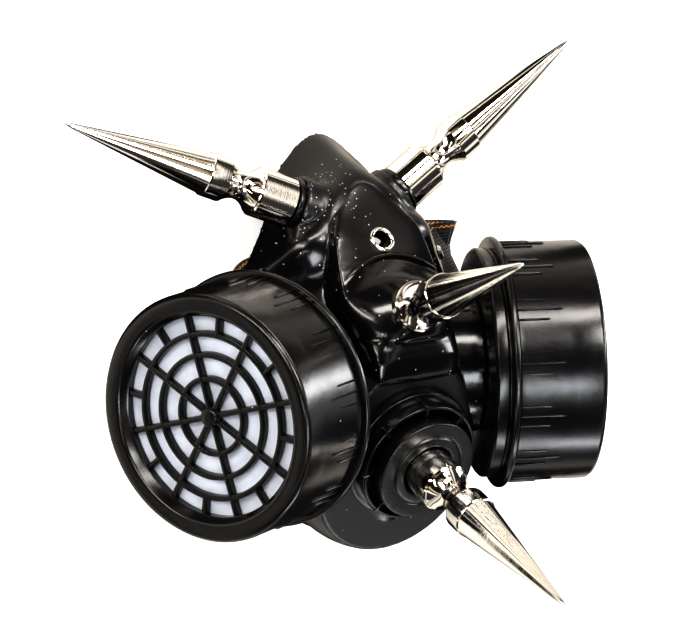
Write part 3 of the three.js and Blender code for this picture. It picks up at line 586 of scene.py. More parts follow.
class Pattern:
    """Shader node groups that several finishes share, each built once."""

    made: dict[str, bpy.types.NodeTree] = {}
    haze_spread = (0.3, 0.7)
    haze_detail = 4.0

    @classmethod
    def start(cls, name: str, inputs: tuple[str, ...], outputs: tuple[str, ...]) -> tuple[Nodes, dict, dict]:
        """Begins a group whose sockets are all numbers.

        Args:
            name: The group's name.
            inputs: The inputs' names.
            outputs: The outputs' names.

        Returns:
            The group's nodes, the sockets that bring its inputs, and the sockets that take its outputs.
        """
        group = bpy.data.node_groups.new(name, "ShaderNodeTree")
        for direction, labels in (("INPUT", inputs), ("OUTPUT", outputs)):
            for label in labels:
                group.interface.new_socket(name=label, in_out=direction, socket_type="NodeSocketFloat")
        lay = Nodes(group)
        entry, leave = lay.node("NodeGroupInput"), lay.node("NodeGroupOutput")
        cls.made[name] = group
        take = {label: entry.outputs[label] for label in inputs}
        give = {label: leave.inputs[label] for label in outputs}
        return lay, take, give

    @classmethod
    def specks(cls) -> bpy.types.NodeTree:
        """Sparse dust specks.

        Returns:
            The group, with inputs Scale, Share and Size. Its Mask is one on a speck.
        """
        if "DustSpecks" not in cls.made:
            lay, take, give = cls.start("DustSpecks", ("Scale", "Share", "Size"), ("Mask",))
            place = lay.node("ShaderNodeTexCoord").outputs["Object"]
            cells = lay.node("ShaderNodeTexVoronoi", {"Vector": place, "Scale": take["Scale"]})
            near = lay.math("LESS_THAN", cells.outputs["Distance"], take["Size"])
            part = lay.node("ShaderNodeSeparateColor", {0: cells.outputs["Color"]})
            chosen = lay.math("LESS_THAN", part.outputs[0], take["Share"])
            lay.tree.links.new(lay.math("MULTIPLY", near, chosen), give["Mask"])
        return cls.made["DustSpecks"]

    @classmethod
    def haze(cls) -> bpy.types.NodeTree:
        """Soft uneven handling marks.

        Returns:
            The group, with inputs Scale, Low and High. Its Value lies between Low and High, and its
            Grain is the noise itself.
        """
        if "Haze" not in cls.made:
            lay, take, give = cls.start("Haze", ("Scale", "Low", "High"), ("Value", "Grain"))
            place = lay.node("ShaderNodeTexCoord").outputs["Object"]
            noise = lay.node("ShaderNodeTexNoise", {
                "Vector": place, "Scale": take["Scale"], "Detail": cls.haze_detail}).outputs["Fac"]
            span = lay.node("ShaderNodeMapRange", {
                "Value": noise, "From Min": cls.haze_spread[0], "From Max": cls.haze_spread[1],
                "To Min": take["Low"], "To Max": take["High"]})
            lay.tree.links.new(span.outputs["Result"], give["Value"])
            lay.tree.links.new(noise, give["Grain"])
        return cls.made["Haze"]


class Paint(Nodes):
    """A material while its nodes are being laid out."""

    def __init__(self, name: str, color: Triple, **plain: float) -> None:
        """Starts a material with a Principled shader.

        Args:
            name: The material's name.
            color: Its base colour.
            plain: Plain values for the shader's own inputs, with underscores for spaces.
        """
        self.material = bpy.data.materials.new(name)
        self.material.use_nodes = True
        super().__init__(self.material.node_tree)
        self.shader = next(node for node in self.tree.nodes if node.type == "BSDF_PRINCIPLED")
        self.shader.inputs["Base Color"].default_value = (*color, 1.0)
        for label, value in plain.items():
            title = label.replace("_", " ").title().replace("Ior", "IOR")
            self.shader.inputs[title].default_value = value

    def group(self, tree: bpy.types.NodeTree, **values: object) -> dict[str, bpy.types.NodeSocket]:
        """Adds a shared pattern with its own values, and gives its outputs."""
        return self.node("ShaderNodeGroup", dict(values), node_tree=tree).outputs

    def feed(self, socket: bpy.types.NodeSocket, label: str) -> None:
        """Links a socket to one of the shader's inputs."""
        self.tree.links.new(socket, self.shader.inputs[label])

    def place(self) -> bpy.types.NodeSocket:
        """Object coordinates."""
        return self.node("ShaderNodeTexCoord").outputs["Object"]

    def pattern(self) -> dict[str, bpy.types.NodeSocket]:
        """The pattern map's coordinates, split."""
        turns = self.node("ShaderNodeUVMap", uv_map="Pattern").outputs[0]
        return self.node("ShaderNodeSeparateXYZ", {0: turns}).outputs

    def noise(self, scale: float, detail: float = 2.0, distortion: float = 0.0,
              place: bpy.types.NodeSocket | None = None) -> bpy.types.NodeSocket:
        """Adds a noise.

        Args:
            scale: Its scale.
            detail: Its detail.
            distortion: Its distortion.
            place: Its coordinates, or None for object coordinates.

        Returns:
            The noise as a number.
        """
        return self.node("ShaderNodeTexNoise", {
            "Vector": self.place() if place is None else place, "Scale": scale, "Detail": detail,
            "Distortion": distortion,
        }).outputs["Fac"]

    def span(self, value: bpy.types.NodeSocket, start: Span, end: Span = (0.0, 1.0)) -> bpy.types.NodeSocket:
        """Maps one span of a number to another.

        Args:
            value: The number.
            start: The span that it comes in.
            end: The span that it leaves in.

        Returns:
            The mapped number, kept within its span.
        """
        return self.node("ShaderNodeMapRange", {
            "Value": value, "From Min": start[0], "From Max": start[1], "To Min": end[0], "To Max": end[1],
        }).outputs[0]

    def bump(self, height: bpy.types.NodeSocket, distance: float,
             below: bpy.types.NodeSocket | None = None) -> bpy.types.NodeSocket:
        """Adds a bump.

        Args:
            height: Its height, as a share of the distance.
            distance: Its distance in metres.
            below: The bump that it lies on, or None.

        Returns:
            The bent normal.
        """
        made = self.node("ShaderNodeBump", {"Height": height, "Distance": distance, "Strength": 1.0})
        if below is not None:
            self.tree.links.new(below, made.inputs["Normal"])
        return made.outputs[0]

    def blend(self, share: bpy.types.NodeSocket, low: object, high: object) -> bpy.types.NodeSocket:
        """Mixes two colours.

        Args:
            share: The share of the second one.
            low: The first colour, as three numbers or a socket.
            high: The second colour, as three numbers or a socket.

        Returns:
            The mixed colour.
        """
        made = self.node("ShaderNodeMix", {"Factor": share}, data_type="RGBA")
        for label, color in (("A", low), ("B", high)):
            if isinstance(color, bpy.types.NodeSocket):
                self.tree.links.new(color, made.inputs[label])
            else:
                made.inputs[label].default_value = (*color, 1.0)
        return made.outputs["Result"]


@dataclass(frozen=True)
class RubberFinish:
    """Moulded black rubber, either wet-looking or satin, with dust on it."""

    name: str = "rubber_gloss"
    color: Triple = (0.004, 0.004, 0.0045)
    dust: Triple = (0.55, 0.55, 0.57)
    low: float = 0.1
    high: float = 0.2
    haze_scale: float = 38.0
    ripple: float = 0.0003
    specks: float = 0.05
    speck_scale: float = 900.0
    speck_size: float = 0.19
    dusty_place: Triple = (-0.0119, 0.0384, 0.0243)
    dusty_span: Span = (0.003, 0.02)
    dusty_share: float = 0.5
    bridge_span: Span = (0.018, 0.045)
    bridge_satin: float = 0.17

    def build(self) -> bpy.types.Material:
        """Makes the material.

        Returns:
            The material.
        """
        paint = Paint(self.name, self.color, ior=1.52)
        haze = paint.group(Pattern.haze(), Scale=self.haze_scale, Low=self.low, High=self.high)
        place = paint.place()
        away = paint.node("ShaderNodeVectorMath", {0: place, 1: self.dusty_place}, operation="DISTANCE")
        share = paint.span(away.outputs["Value"], self.dusty_span, (self.dusty_share, self.specks))
        specks = paint.group(Pattern.specks(), Scale=self.speck_scale, Share=share, Size=self.speck_size)
        mask = specks["Mask"]
        rise = paint.node("ShaderNodeSeparateXYZ", {0: place}).outputs["Y"]
        worn = paint.span(rise, self.bridge_span, (0.0, self.bridge_satin))
        rough = paint.math("MAXIMUM", paint.math("ADD", haze["Value"], worn), mask)
        paint.feed(rough, "Roughness")
        paint.feed(paint.blend(mask, self.color, self.dust), "Base Color")
        paint.feed(paint.bump(haze["Grain"], self.ripple), "Normal")
        return paint.material


@dataclass(frozen=True)
class PlasticFinish:
    """Satin black injection-moulded plastic with a fine grain and a little dust."""

    name: str = "plastic_satin"
    color: Triple = (0.0045, 0.0045, 0.005)
    dust: Triple = (0.4, 0.4, 0.42)
    low: float = 0.17
    high: float = 0.25
    haze_scale: float = 55.0
    haze_height: float = 0.0002
    speck_scale: float = 520.0
    speck_share: float = 0.006
    speck_size: float = 0.14
    grain_scale: float = 2600.0
    grain_height: float = 0.00002

    def build(self) -> bpy.types.Material:
        """Makes the material.

        Returns:
            The material.
        """
        paint = Paint(self.name, self.color, ior=1.5)
        haze = paint.group(Pattern.haze(), Scale=self.haze_scale, Low=self.low, High=self.high)
        specks = paint.group(
            Pattern.specks(), Scale=self.speck_scale, Share=self.speck_share, Size=self.speck_size)
        paint.feed(haze["Value"], "Roughness")
        paint.feed(paint.blend(specks["Mask"], self.color, self.dust), "Base Color")
        first = paint.bump(paint.noise(self.grain_scale), self.grain_height)
        paint.feed(paint.bump(haze["Grain"], self.haze_height, below=first), "Normal")
        return paint.material


@dataclass(frozen=True)
class NickelFinish:
    """Polished nickel plate with painted shade: its colour darkens to brown where it turns away from the
    view. Faint lathe lines run across the axis.
    """

    name: str = "nickel_polished"
    color: Triple = (0.9, 0.87, 0.82)
    # Painted shade: the dark brown that the colour turns to where the surface turns away from the view.
    edge: Triple = (0.2, 0.145, 0.09)
    painted_shade_span: Span = (0.55, 0.92)
    low: float = 0.03
    high: float = 0.07
    haze_scale: float = 120.0
    haze_height: float = 0.00003
    line_scale: float = 3.2
    line_detail: float = 6.0
    line_height: float = 0.00002

    def build(self) -> bpy.types.Material:
        """Makes the material.

        Returns:
            The material.
        """
        paint = Paint(self.name, self.color, metallic=1.0)
        haze = paint.group(Pattern.haze(), Scale=self.haze_scale, Low=self.low, High=self.high)
        paint.feed(haze["Value"], "Roughness")
        # Painted shade: the colour darkens towards the brown edge colour where the surface turns away from
        # the view.
        facing = paint.node("ShaderNodeLayerWeight", {"Blend": 0.5}).outputs["Facing"]
        edge = paint.span(facing, self.painted_shade_span)
        paint.feed(paint.blend(edge, self.color, self.edge), "Base Color")
        along = paint.node("ShaderNodeCombineXYZ", {"Y": paint.pattern()["Y"]}).outputs[0]
        lines = paint.noise(self.line_scale, self.line_detail, place=along)
        first = paint.bump(lines, self.line_height)
        paint.feed(paint.bump(haze["Grain"], self.haze_height, below=first), "Normal")
        return paint.material


@dataclass(frozen=True)
class FeltFinish:
    """Pale filter felt of fine matted fibres."""

    name: str = "filter_felt"
    color: Triple = (0.78, 0.83, 0.93)
    shade: Triple = (0.62, 0.68, 0.82)
    cloud_scale: float = 180.0
    cloud_detail: float = 6.0
    fibre_scale: float = 1500.0
    fibre_detail: float = 3.0
    fibre_twist: float = 1.5
    fibre_height: float = 0.0003

    def build(self) -> bpy.types.Material:
        """Makes the material.

        Returns:
            The material.
        """
        paint = Paint(self.name, self.color, roughness=0.95, sheen_weight=0.25)
        clouds = paint.noise(self.cloud_scale, self.cloud_detail)
        fibres = paint.noise(self.fibre_scale, self.fibre_detail, self.fibre_twist)
        paint.feed(paint.blend(clouds, self.shade, self.color), "Base Color")
        paint.feed(paint.bump(fibres, self.fibre_height), "Normal")
        return paint.material


@dataclass(frozen=True)
class WebbingFinish:
    """Black woven elastic: ribs along the strap and finer picks across it, with painted shade: its colour is
    lighter on the raised weave and darker in the hollows between threads.
    """

    name: str = "webbing_black"
    color: Triple = (0.006, 0.006, 0.0065)
    # Painted highlight: the lighter colour on the raised weave, against the darker hollows.
    light: Triple = (0.035, 0.034, 0.033)
    rib: float = 1.25
    pick: float = 0.8
    height: float = 0.0003

    def build(self) -> bpy.types.Material:
        """Makes the material.

        Returns:
            The material.
        """
        paint = Paint(self.name, self.color, roughness=0.8, sheen_weight=0.3)
        split = paint.pattern()
        waves = []
        for axis, pitch in (("X", self.rib), ("Y", self.pick)):
            wave = paint.math("SINE", paint.math("MULTIPLY", split[axis], 2 * math.pi / pitch))
            waves.append(paint.math("MULTIPLY_ADD", wave, 0.5, 0.5))
        # Painted shade: the colour follows the weave's height, darker in its hollows and lighter on its
        # raised threads.
        weave = paint.math("MULTIPLY", *waves)
        paint.feed(paint.blend(weave, self.color, self.light), "Base Color")
        paint.feed(paint.bump(weave, self.height), "Normal")
        return paint.material


@dataclass(frozen=True)
class ThreadFinish:
    """Orange sewing thread."""

    name: str = "thread_orange"
    color: Triple = (0.82, 0.36, 0.06)
    ply_scale: float = 3000.0
    ply_height: float = 0.0001

    def build(self) -> bpy.types.Material:
        """Makes the material.

        Returns:
            The material.
        """
        paint = Paint(self.name, self.color, roughness=0.55, sheen_weight=0.2)
        paint.feed(paint.bump(paint.noise(self.ply_scale), self.ply_height), "Normal")
        return paint.material


def box_shape(low: Triple, high: Triple) -> Shape:
    """A plain block.

    Args:
        low: Its lowest corner.
        high: Its highest corner.

    Returns:
        The shape.
    """
    (x0, y0, z0), (x1, y1, z1) = low, high
    points = np.array([(x, y, z) for z in (z0, z1) for y in (y0, y1) for x in (x0, x1)])
    faces = [(0, 2, 3, 1), (4, 5, 7, 6), (0, 1, 5, 4), (2, 6, 7, 3), (0, 4, 6, 2), (1, 3, 7, 5)]
    return Shape(points, faces)


def bevelled(mesh: bpy.types.Mesh, width: float) -> bpy.types.Mesh:
    """Rounds a mesh's sharp edges.

    Args:
        mesh: The mesh.
        width: The bevel's width in millimetres.

    Returns:
        The rounded mesh.
    """
    thing = add_object(mesh.name + "_bevel", mesh)
    modifier = thing.modifiers.new("Bevel", "BEVEL")
    modifier.width = width * MM
    modifier.segments = BEVEL_STEPS
    modifier.limit_method = "ANGLE"
    modifier.angle_limit = math.radians(BEVEL_ANGLE)
    return evaluated(thing, mesh.name)


def seated_mesh(mesh: bpy.types.Mesh, seat: Seat) -> bpy.types.Mesh:
    """Moves a mesh to its place.

    Args:
        mesh: The mesh, in a local frame and in metres.
        seat: The local frame.

    Returns:
        The same mesh, in the model's frame.
    """
    count = len(mesh.vertices)
    flat = np.zeros(count * 3)
    mesh.vertices.foreach_get("co", flat)
    placed = FRAME.place(seat.apply(flat.reshape(-1, 3) / MM))
    mesh.vertices.foreach_set("co", placed.ravel())
    mesh.update()
    return mesh


@dataclass(frozen=True)
class FaceSection:
    """One section of the facepiece, with a share for each station from the bridge to the chin."""

    wide: tuple[float, ...]
    deep: tuple[float, ...]
    high: tuple[float, ...]


@dataclass(frozen=True)
class PanelSection:
    """One section of the raised panel, as shares of its height, half width and depth."""

    high: float
    wide: float
    front: float
    side: float
    round: float
    bow: float


FACE_SECTIONS = (
    FaceSection((0, 0.345, 0.60, 0.87, 1.0, 0.87, 0), (0, 0.02, 0.15, 0.26, 0.18, 0, 0.05),
                (1.0, 0.865, 0.64, 0.445, 0.08, -0.6, -0.935)),
    FaceSection((0, 0.32, 0.53, 0.66, 0.85, 0.75, 0), (0.15, 0.20, 0.49, 0.46, 0.46, 0.28, 0.25),
                (0.955, 0.80, 0.64, 0.475, 0.06, -0.65, -0.97)),
    FaceSection((0, 0.26, 0.36, 0.41, 0.70, 0.61, 0), (0.43, 0.472, 0.56, 0.60, 0.68, 0.56, 0.49),
                (0.845, 0.785, 0.62, 0.41, 0.05, -0.66, -0.985)),
    FaceSection((0, 0.20, 0.30, 0.36, 0.53, 0.48, 0), (0.60, 0.60, 0.61, 0.75, 0.87, 0.76, 0.67),
                (0.62, 0.585, 0.50, 0.30, -0.06, -0.58, -0.9)),
    FaceSection((0, 0.12, 0.21, 0.26, 0.30, 0.26, 0), (0.74, 0.75, 0.81, 0.91, 0.94, 0.84, 0.78),
                (0.42, 0.39, 0.28, 0.12, -0.08, -0.45, -0.68)),
)

PANEL_SECTIONS = (
    PanelSection(1, 0.1, 0.32, 0.3, 2, 0), PanelSection(0.982, 0.27, 0.345, 0.31, 2, 0),
    PanelSection(0.938, 0.51, 0.39, 0.34, 2.2, 0), PanelSection(0.863, 0.81, 0.485, 0.43, 2.4, 0),
    PanelSection(0.762, 1.07, 0.637, 0.59, 2.6, 0.004), PanelSection(0.664, 1.21, 0.765, 0.717, 2.6, 0.07),
    PanelSection(0.645, 1.23, 0.8, 0.736, 2.3, 0.073), PanelSection(0.615, 1.25, 0.89, 0.764, 2.1, 0.07),
    PanelSection(0.565, 1.27, 1.05, 0.806, 2, 0.06), PanelSection(0.505, 1.27, 1.19, 0.85, 2, 0.047),
    PanelSection(0.445, 1.26, 1.28, 0.89, 2, 0.034), PanelSection(0.375, 1.21, 1.34, 0.93, 2.1, 0.016),
    PanelSection(0.308, 1.15, 1.355, 0.97, 2.4, 0), PanelSection(0.285, 1.13, 1.325, 1, 3.4, 0),
    PanelSection(0.223, 1.09, 1.345, 1.09, 5, 0), PanelSection(0.158, 1.05, 1.355, 1.18, 6, 0),
    PanelSection(0.105, 1, 1.345, 1.26, 6, 0), PanelSection(0.078, 0.94, 1.325, 1.28, 6, 0),
)


def painted(name: str, shape: Shape, material: bpy.types.Material) -> bpy.types.Mesh:
    """Makes a mesh in one material.

    Args:
        name: The mesh's name.
        shape: The shape, in the upright mask's millimetres.
        material: The material.

    Returns:
        The mesh, in the model's frame.
    """
    mesh = mesh_from(name, shape)
    mesh.materials.append(material)
    return mesh


@dataclass(frozen=True)
class Valve:
    """The front valve: a round seat, a notched ring, a core and a stepped cap.

    Pairs of sizes are steps away from the axis and along it.
    """

    tilt: float = -17.8
    face_point: Triple = (0.0, -11.0, 6.1)
    drop: float = 27.8
    sides: int = 128
    plug_radius: float = 12.8
    plug_depth: float = 4.0
    seat_radius: float = 23.8
    seat_height: float = 4.2
    seat_round: float = 0.5
    nut_radius: float = 22.0
    nut_wall: float = 1.1
    nut_foot: float = 1.0
    nut_height: float = 6.4
    nut_drop: float = 0.4
    nut_edge: float = 0.3
    nut_round: float = 0.2
    core_radius: float = 16.8
    core_flare: float = 0.4
    ribs: int = 8
    rib_width: float = 1.5
    rib_turn: float = 3.5
    rib_sink: float = 1.0
    rib_proud: Span = (0.35, 0.15)
    rib_round: float = 0.3
    cap_radius: float = 18.4
    cap_height: float = 4.4
    cap_edge: float = 0.4
    cap_round: float = 0.35
    step_radius: float = 13.1
    step_height: float = 0.6
    groove: Rows = ((0.5, 0.0), (0.15, -0.35), (-0.1, -0.1))
    step_slope: Span = (0.6, 0.15)
    bore: float = 9.0
    bore_edge: Span = (0.9, 1.2)
    bore_depth: float = 2.3

    @property
    def axis(self) -> Triple:
        """The valve's axis, forward and down."""
        return (0.0, -math.cos(math.radians(self.tilt)), math.sin(math.radians(self.tilt)))

    @property
    def down(self) -> np.ndarray:
        """The way down its flat face."""
        return np.array((0.0, -self.axis[2], self.axis[1]))

    @property
    def seat(self) -> Seat:
        """The local frame at the valve's foot."""
        return Seat(tuple(np.asarray(self.face_point) + self.down * self.drop), self.axis)

    @property
    def cap_top(self) -> float:
        """The height of the cap's flat top."""
        return self.seat_height + self.nut_height + 2 * GAP + self.cap_height

    def body_mesh(self, ring: Tree, plastic: bpy.types.Material) -> bpy.types.Mesh:
        """The seat, core, notched ring and ribs in one mesh.

        Args:
            ring: The tree that repeats the ribs.
            plastic: The material.

        Returns:
            The mesh in the model's frame.
        """
        seat_top, plug, nut = GAP + self.seat_height, self.plug_radius, self.nut_radius
        top = seat_top + self.nut_height - self.nut_drop
        inner, foot = nut - self.nut_wall, GAP + self.nut_foot
        base = [(0, -self.plug_depth), (plug, -self.plug_depth), (plug, GAP), (self.seat_radius, GAP),
                (self.seat_radius, seat_top), (self.core_radius + self.core_flare, seat_top),
                (self.core_radius, top), (0, top)]
        edge = self.nut_edge
        band = [(inner, foot), (nut, foot), (nut, top - edge), (nut - edge, top), (inner, top)]
        solids = (turned(rounded(base, self.seat_round), self.sides),
                  turned(rounded(band, self.nut_round, closed=True), self.sides, closed=True))
        meshes = [painted("valve_ring", shape.seated(self.seat), plastic) for shape in solids]
        half, (out, over) = self.rib_width / 2, self.rib_proud
        rib = box_shape((self.core_radius - self.rib_sink, -half, seat_top - self.rib_sink),
                        (nut + out, half, top + over))
        local = bevelled(mesh_from("valve_rib", rib, place=False), self.rib_round)
        ribs = ring.run("valve_ribs", local, {
            "Groups": self.ribs, "Members": 1, "Pitch": 0.0, "Turn": math.radians(self.rib_turn),
            "Side Length": 1.0, "Material": plastic})
        return merged("valve_body", meshes + [seated_mesh(ribs, self.seat)])

    def cap_mesh(self, plastic: bpy.types.Material) -> bpy.types.Mesh:
        """The stepped cap with its fine ring groove.

        Args:
            plastic: The material.

        Returns:
            The mesh in the model's frame.
        """
        foot, top, edge = self.cap_top - self.cap_height, self.cap_top, self.cap_edge
        floor = top - self.bore_depth
        raised, radius, step, bore = top + self.step_height, self.cap_radius, self.step_radius, self.bore
        rows = [(0, foot), (radius, foot), (radius, top - edge), (radius - edge, top)]
        rows += [(step + away, top + rise) for away, rise in self.groove]
        rows += [(step - self.step_slope[0], raised - self.step_slope[1]), (bore + self.bore_edge[0], raised),
                 (bore, raised - self.bore_edge[1]), (bore, floor), (0, floor)]
        shape = turned(rounded(rows, self.cap_round), self.sides)
        return painted("valve_cap", shape.seated(self.seat), plastic)


@dataclass(frozen=True)
class Spikes:
    """The four turned spikes and the places that they are screwed to.

    Aims are leans to the front and rises in degrees. The spans of the waist, ring and cone are shares of
    the length.
    """

    length: float = 85.0
    sides: int = 96
    collar: float = 8.7
    collar_edge: float = 0.5
    collar_rows: tuple[Triple, ...] = ((0.0, 0.157, -0.25), (-0.22, 0.157, 0.0), (-0.55, 0.161, 0.0))
    waist: float = 5.0
    waist_inset: Span = (0.62, 0.05)
    waist_span: Span = (0.165, 0.135)
    waist_power: float = 0.85
    waist_steps: int = 20
    ring: float = 7.75
    ring_rows: tuple[Triple, ...] = ((0.0, 0.3035, 0.0), (0.0, 0.383, -0.3), (-0.25, 0.3835, 0.0))
    cone: float = 7.2
    cone_foot: Span = (0.1, 0.385)
    cone_span: Span = (0.392, 0.58)
    cone_steps: int = 12
    cone_end: float = 2.1
    tip: float = 0.45
    tip_rows: Rows = ((1.6, 0.985), (1.0, 0.9955))
    side_foot: Triple = (22.6, 35.5, 60.6)
    right_aim: Span = (-9.8, 22.5)
    left_aim: Span = (1.2, 33.2)
    middle_aim: Span = (90 - 4.1, 22.3)
    middle_point: Triple = (0.0, -9.2, 29.8)
    middle_sink: float = 10.4
    valve_sink: float = 2.0
    washer_radius: float = 9.35
    washer_height: float = 1.8
    washer_round: float = 0.35

    @staticmethod
    def direction(sign: int, lean: float, rise: float) -> Triple:
        """A spike's axis from its lean to the front and its rise, in degrees."""
        forward, up = math.radians(lean), math.radians(rise)
        return (sign * math.cos(up) * math.cos(forward), -math.cos(up) * math.sin(forward), math.sin(up))

    def seats(self, valve: Valve) -> dict[str, Seat]:
        """The local frame at each spike's foot.

        Args:
            valve: The valve that carries the lowest spike.

        Returns:
            A seat for each spike, by its CAD node.
        """
        x, y, z = self.side_foot
        middle = Seat(self.middle_point, self.direction(-1, *self.middle_aim))
        return {
            "spike_right": Seat((-x, y, z), self.direction(-1, *self.right_aim)),
            "spike_left": Seat((x, y, z), self.direction(1, *self.left_aim)),
            "spike_middle": middle.moved(-self.middle_sink),
            "spike_valve": valve.seat.moved(valve.cap_top - self.valve_sink),
        }

    def profile(self) -> Pairs:
        """Collar, hollow waist, ring and long cone.

        Returns:
            The outline as radius and height.
        """
        length, collar, edge = self.length, self.collar, self.collar_edge
        rows = [(0.0, 0.0), (collar - edge, 0.0), (collar, edge)]
        rows += [(collar + away, share * length + more) for away, share, more in self.collar_rows]
        for step in range(self.waist_steps + 1):
            share = step / self.waist_steps
            outer = (collar - self.waist_inset[0]) * (1 - share) + (self.ring - self.waist_inset[1]) * share
            radius = outer - (outer - self.waist) * math.sin(math.pi * share) ** self.waist_power
            rows.append((radius, (self.waist_span[0] + self.waist_span[1] * share) * length))
        rows += [(self.ring + away, share * length + more) for away, share, more in self.ring_rows]
        rows += [(self.cone + self.cone_foot[0], self.cone_foot[1] * length)]
        for step in range(self.cone_steps + 1):
            share = step / self.cone_steps
            radius = self.cone + (self.cone_end * self.tip - self.cone) * share
            rows.append((radius, (self.cone_span[0] + self.cone_span[1] * share) * length))
        return rows + [(wide * self.tip, share * length) for wide, share in self.tip_rows] + [(0.0, length)]

    def build(self, valve: Valve, nickel: bpy.types.Material, plastic: bpy.types.Material) -> None:
        """Makes the spikes and the washers under the side ones.

        Args:
            valve: The valve that carries the lowest spike.
            nickel: The spikes' material.
            plastic: The washers' material.
        """
        shape = turned(self.profile(), self.sides)
        for node, seat in self.seats(valve).items():
            deliver(node + "_turned", painted(node, shape.seated(seat), nickel), "steel", node, angle=28)
        wide, high = self.washer_radius, self.washer_height
        ring = turned(rounded([(0, 0), (wide, 0), (wide, high), (0, high)], self.washer_round), self.sides)
        for side in Side:
            seat = self.seats(valve)[f"spike_{side.word}"].moved(-GAP - high)
            mesh = painted("washer", ring.seated(seat), plastic)
            deliver(f"washer_{side.word}", mesh, "plastic", f"spike_washer_{side.word}")


@dataclass(frozen=True)
class Drum:
    """A filter drum: a cap with a web grille and grip ribs, a housing with its lip and neck, and a pad.

    Pairs of sizes are steps away from the axis and along it. The rows of the crown are shares of a bar's
    half width and of its crown, and those of a grip rib are shares of its length and of its width.
    """

    radius: float = 42.0
    span: float = 76.86
    turn: float = 23.69
    length: float = 30.4
    sides: int = 160
    wall: float = 2.2
    foot_edge: Span = (0.25, 0.3)
    outer_rim: Rows = ((0.0, -2.4), (-0.05, -1.75), (-0.3, -1.6), (-0.4, -1.2), (-0.9, -0.45),
                       (-1.9, -0.05), (-2.6, 0.0))
    inner_rim: Rows = ((1.7, 0.0), (0.8, -0.25), (0.25, -0.9))
    inner_edge: Span = (0.6, 0.5)
    step_pitch: float = 4.0
    step_depth: float = 0.1
    step_count: int = 10
    lip_radius: float = 44.1
    lip_length: float = 2.6
    lip_edge: Span = (0.5, 0.6)
    housing_radius: float = 40.2
    housing_length: float = 5.6
    housing_edge: Span = (1.0, 0.9)
    housing_round: float = 0.3
    groove: Triple = (0.9, 1.1, 0.8)
    sleeve: float = 4.0
    neck_radius: float = 20.0
    neck_length: float = 10.0
    grille_radius: float = 35.0
    grille_drop: float = 3.6
    grille_thickness: float = 2.6
    bar: float = 2.3
    web_bar: float = 2.0
    web_sides: int = 128
    crown: float = 0.35
    crown_rows: Rows = ((1.0, 1.0), (0.8, 0.35), (0.3, 0.0))
    hub_radius: float = 3.2
    hub_rise: float = 1.8
    hub_slope: float = 0.5
    hub_round: float = 0.7
    hub_sides: int = 48
    hub_overlap: float = 0.4
    grille_turn: float = 16.9
    ring_shares: tuple[float, ...] = (0.36, 0.59, 0.792, 1.0)
    ring_gaps: tuple[int, ...] = (1, 1, 1, 2)
    spokes: int = 8
    grip_groups: int = 14
    grip_members: int = 3
    grip_side: float = 0.7
    grip_length: float = 16.0
    grip_pitch: float = 5.0
    grip_width: float = 0.6
    grip_flat: float = 0.6
    grip_lift: float = 0.02
    grip_sides: int = 12
    grip_rows: Rows = ((0.0, 0.0), (0.0, 0.8), (0.02, 1.0), (0.9, 1.0), (0.97, 0.7), (1.0, 0.0))
    pad_thickness: float = 5.0
    pad_foot: Span = (0.5, 0.6)
    pad_edge: Rows = ((0.0, 0.9), (0.6, 0.2))
    pad_sink: float = 0.12
    pad_skin: float = 0.15
    pad_rings: int = 30
    pad_sides: int = 120
    ripple: float = 0.1

    def seat(self, side: Side) -> Seat:
        """The local frame at the middle of a drum's front edge."""
        angle = math.radians(self.turn)
        axis = (side.value * math.cos(angle), -math.sin(angle), 0.0)
        return Seat((side.value * self.span, 0.0, 0.0), axis)

    @property
    def back(self) -> float:
        """How far behind the front edge the housing's flat back lies, as a height."""
        return -(self.length + self.lip_length + self.housing_length)

    @property
    def low(self) -> float:
        """The height of the grille's rear face."""
        return -self.grille_drop - self.grille_thickness

    def shell_shape(self) -> Shape:
        """The cap's wall with its rolled rim and the fine steps round its rear.

        Returns:
            The shape in the drum's frame.
        """
        opening, face, foot = self.grille_radius - self.bar / 2, -self.grille_drop, -self.length
        inside, outside = self.radius - self.wall, self.radius
        rows = [(opening, self.low), (inside, self.low), (inside, foot), (outside - self.foot_edge[0], foot),
                (outside, foot + self.foot_edge[1])]
        for step in range(1, self.step_count + 1):
            away = self.step_depth if step % 2 else 0.0
            rows.append((outside - away, foot + step * self.step_pitch / 2))
        rows += [(outside + away, height) for away, height in self.outer_rim]
        rows += [(self.grille_radius + away, height) for away, height in self.inner_rim]
        rows += [(opening + self.inner_edge[0], face + self.inner_edge[1]), (opening, face)]
        return turned(rows, self.sides, closed=True)

    def web_mesh(self, side: Side) -> bpy.types.Mesh:
        """The web grille: rounded rings with rounded spokes between them.

        Args:
            side: The drum's side.

        Returns:
            The mesh in the model's frame.
        """
        half, crown = self.web_bar / 2, self.crown * self.web_bar
        upper = [(share * half, -self.grille_drop - drop * crown) for share, drop in self.crown_rows]
        section = [(-half, self.low), (half, self.low)] + upper + [(-x, y) for x, y in reversed(upper)]
        shape: Shape | None = None
        radii = [self.hub_radius - self.hub_overlap]
        radii += [share * self.grille_radius for share in self.ring_shares]
        for radius in radii[1:-1]:
            ring = turned([(radius + x, y) for x, y in section], self.web_sides, closed=True)
            shape = ring if shape is None else shape.joined(ring)
        for inner, outer, gaps in zip(radii, radii[1:], self.ring_gaps):
            count = self.spokes * gaps
            for step in range(count):
                angle = math.radians(self.grille_turn) + 2 * math.pi * step / count
                cos, sin = math.cos(angle), math.sin(angle)
                ends = [[(cos * reach - sin * x, sin * reach + cos * x, y) for x, y in section]
                        for reach in (inner, outer)]
                shape = shape.joined(lofted(np.array(ends), None, None))
        shape.corners = []
        return mesh_from("web", shape.seated(self.seat(side)))

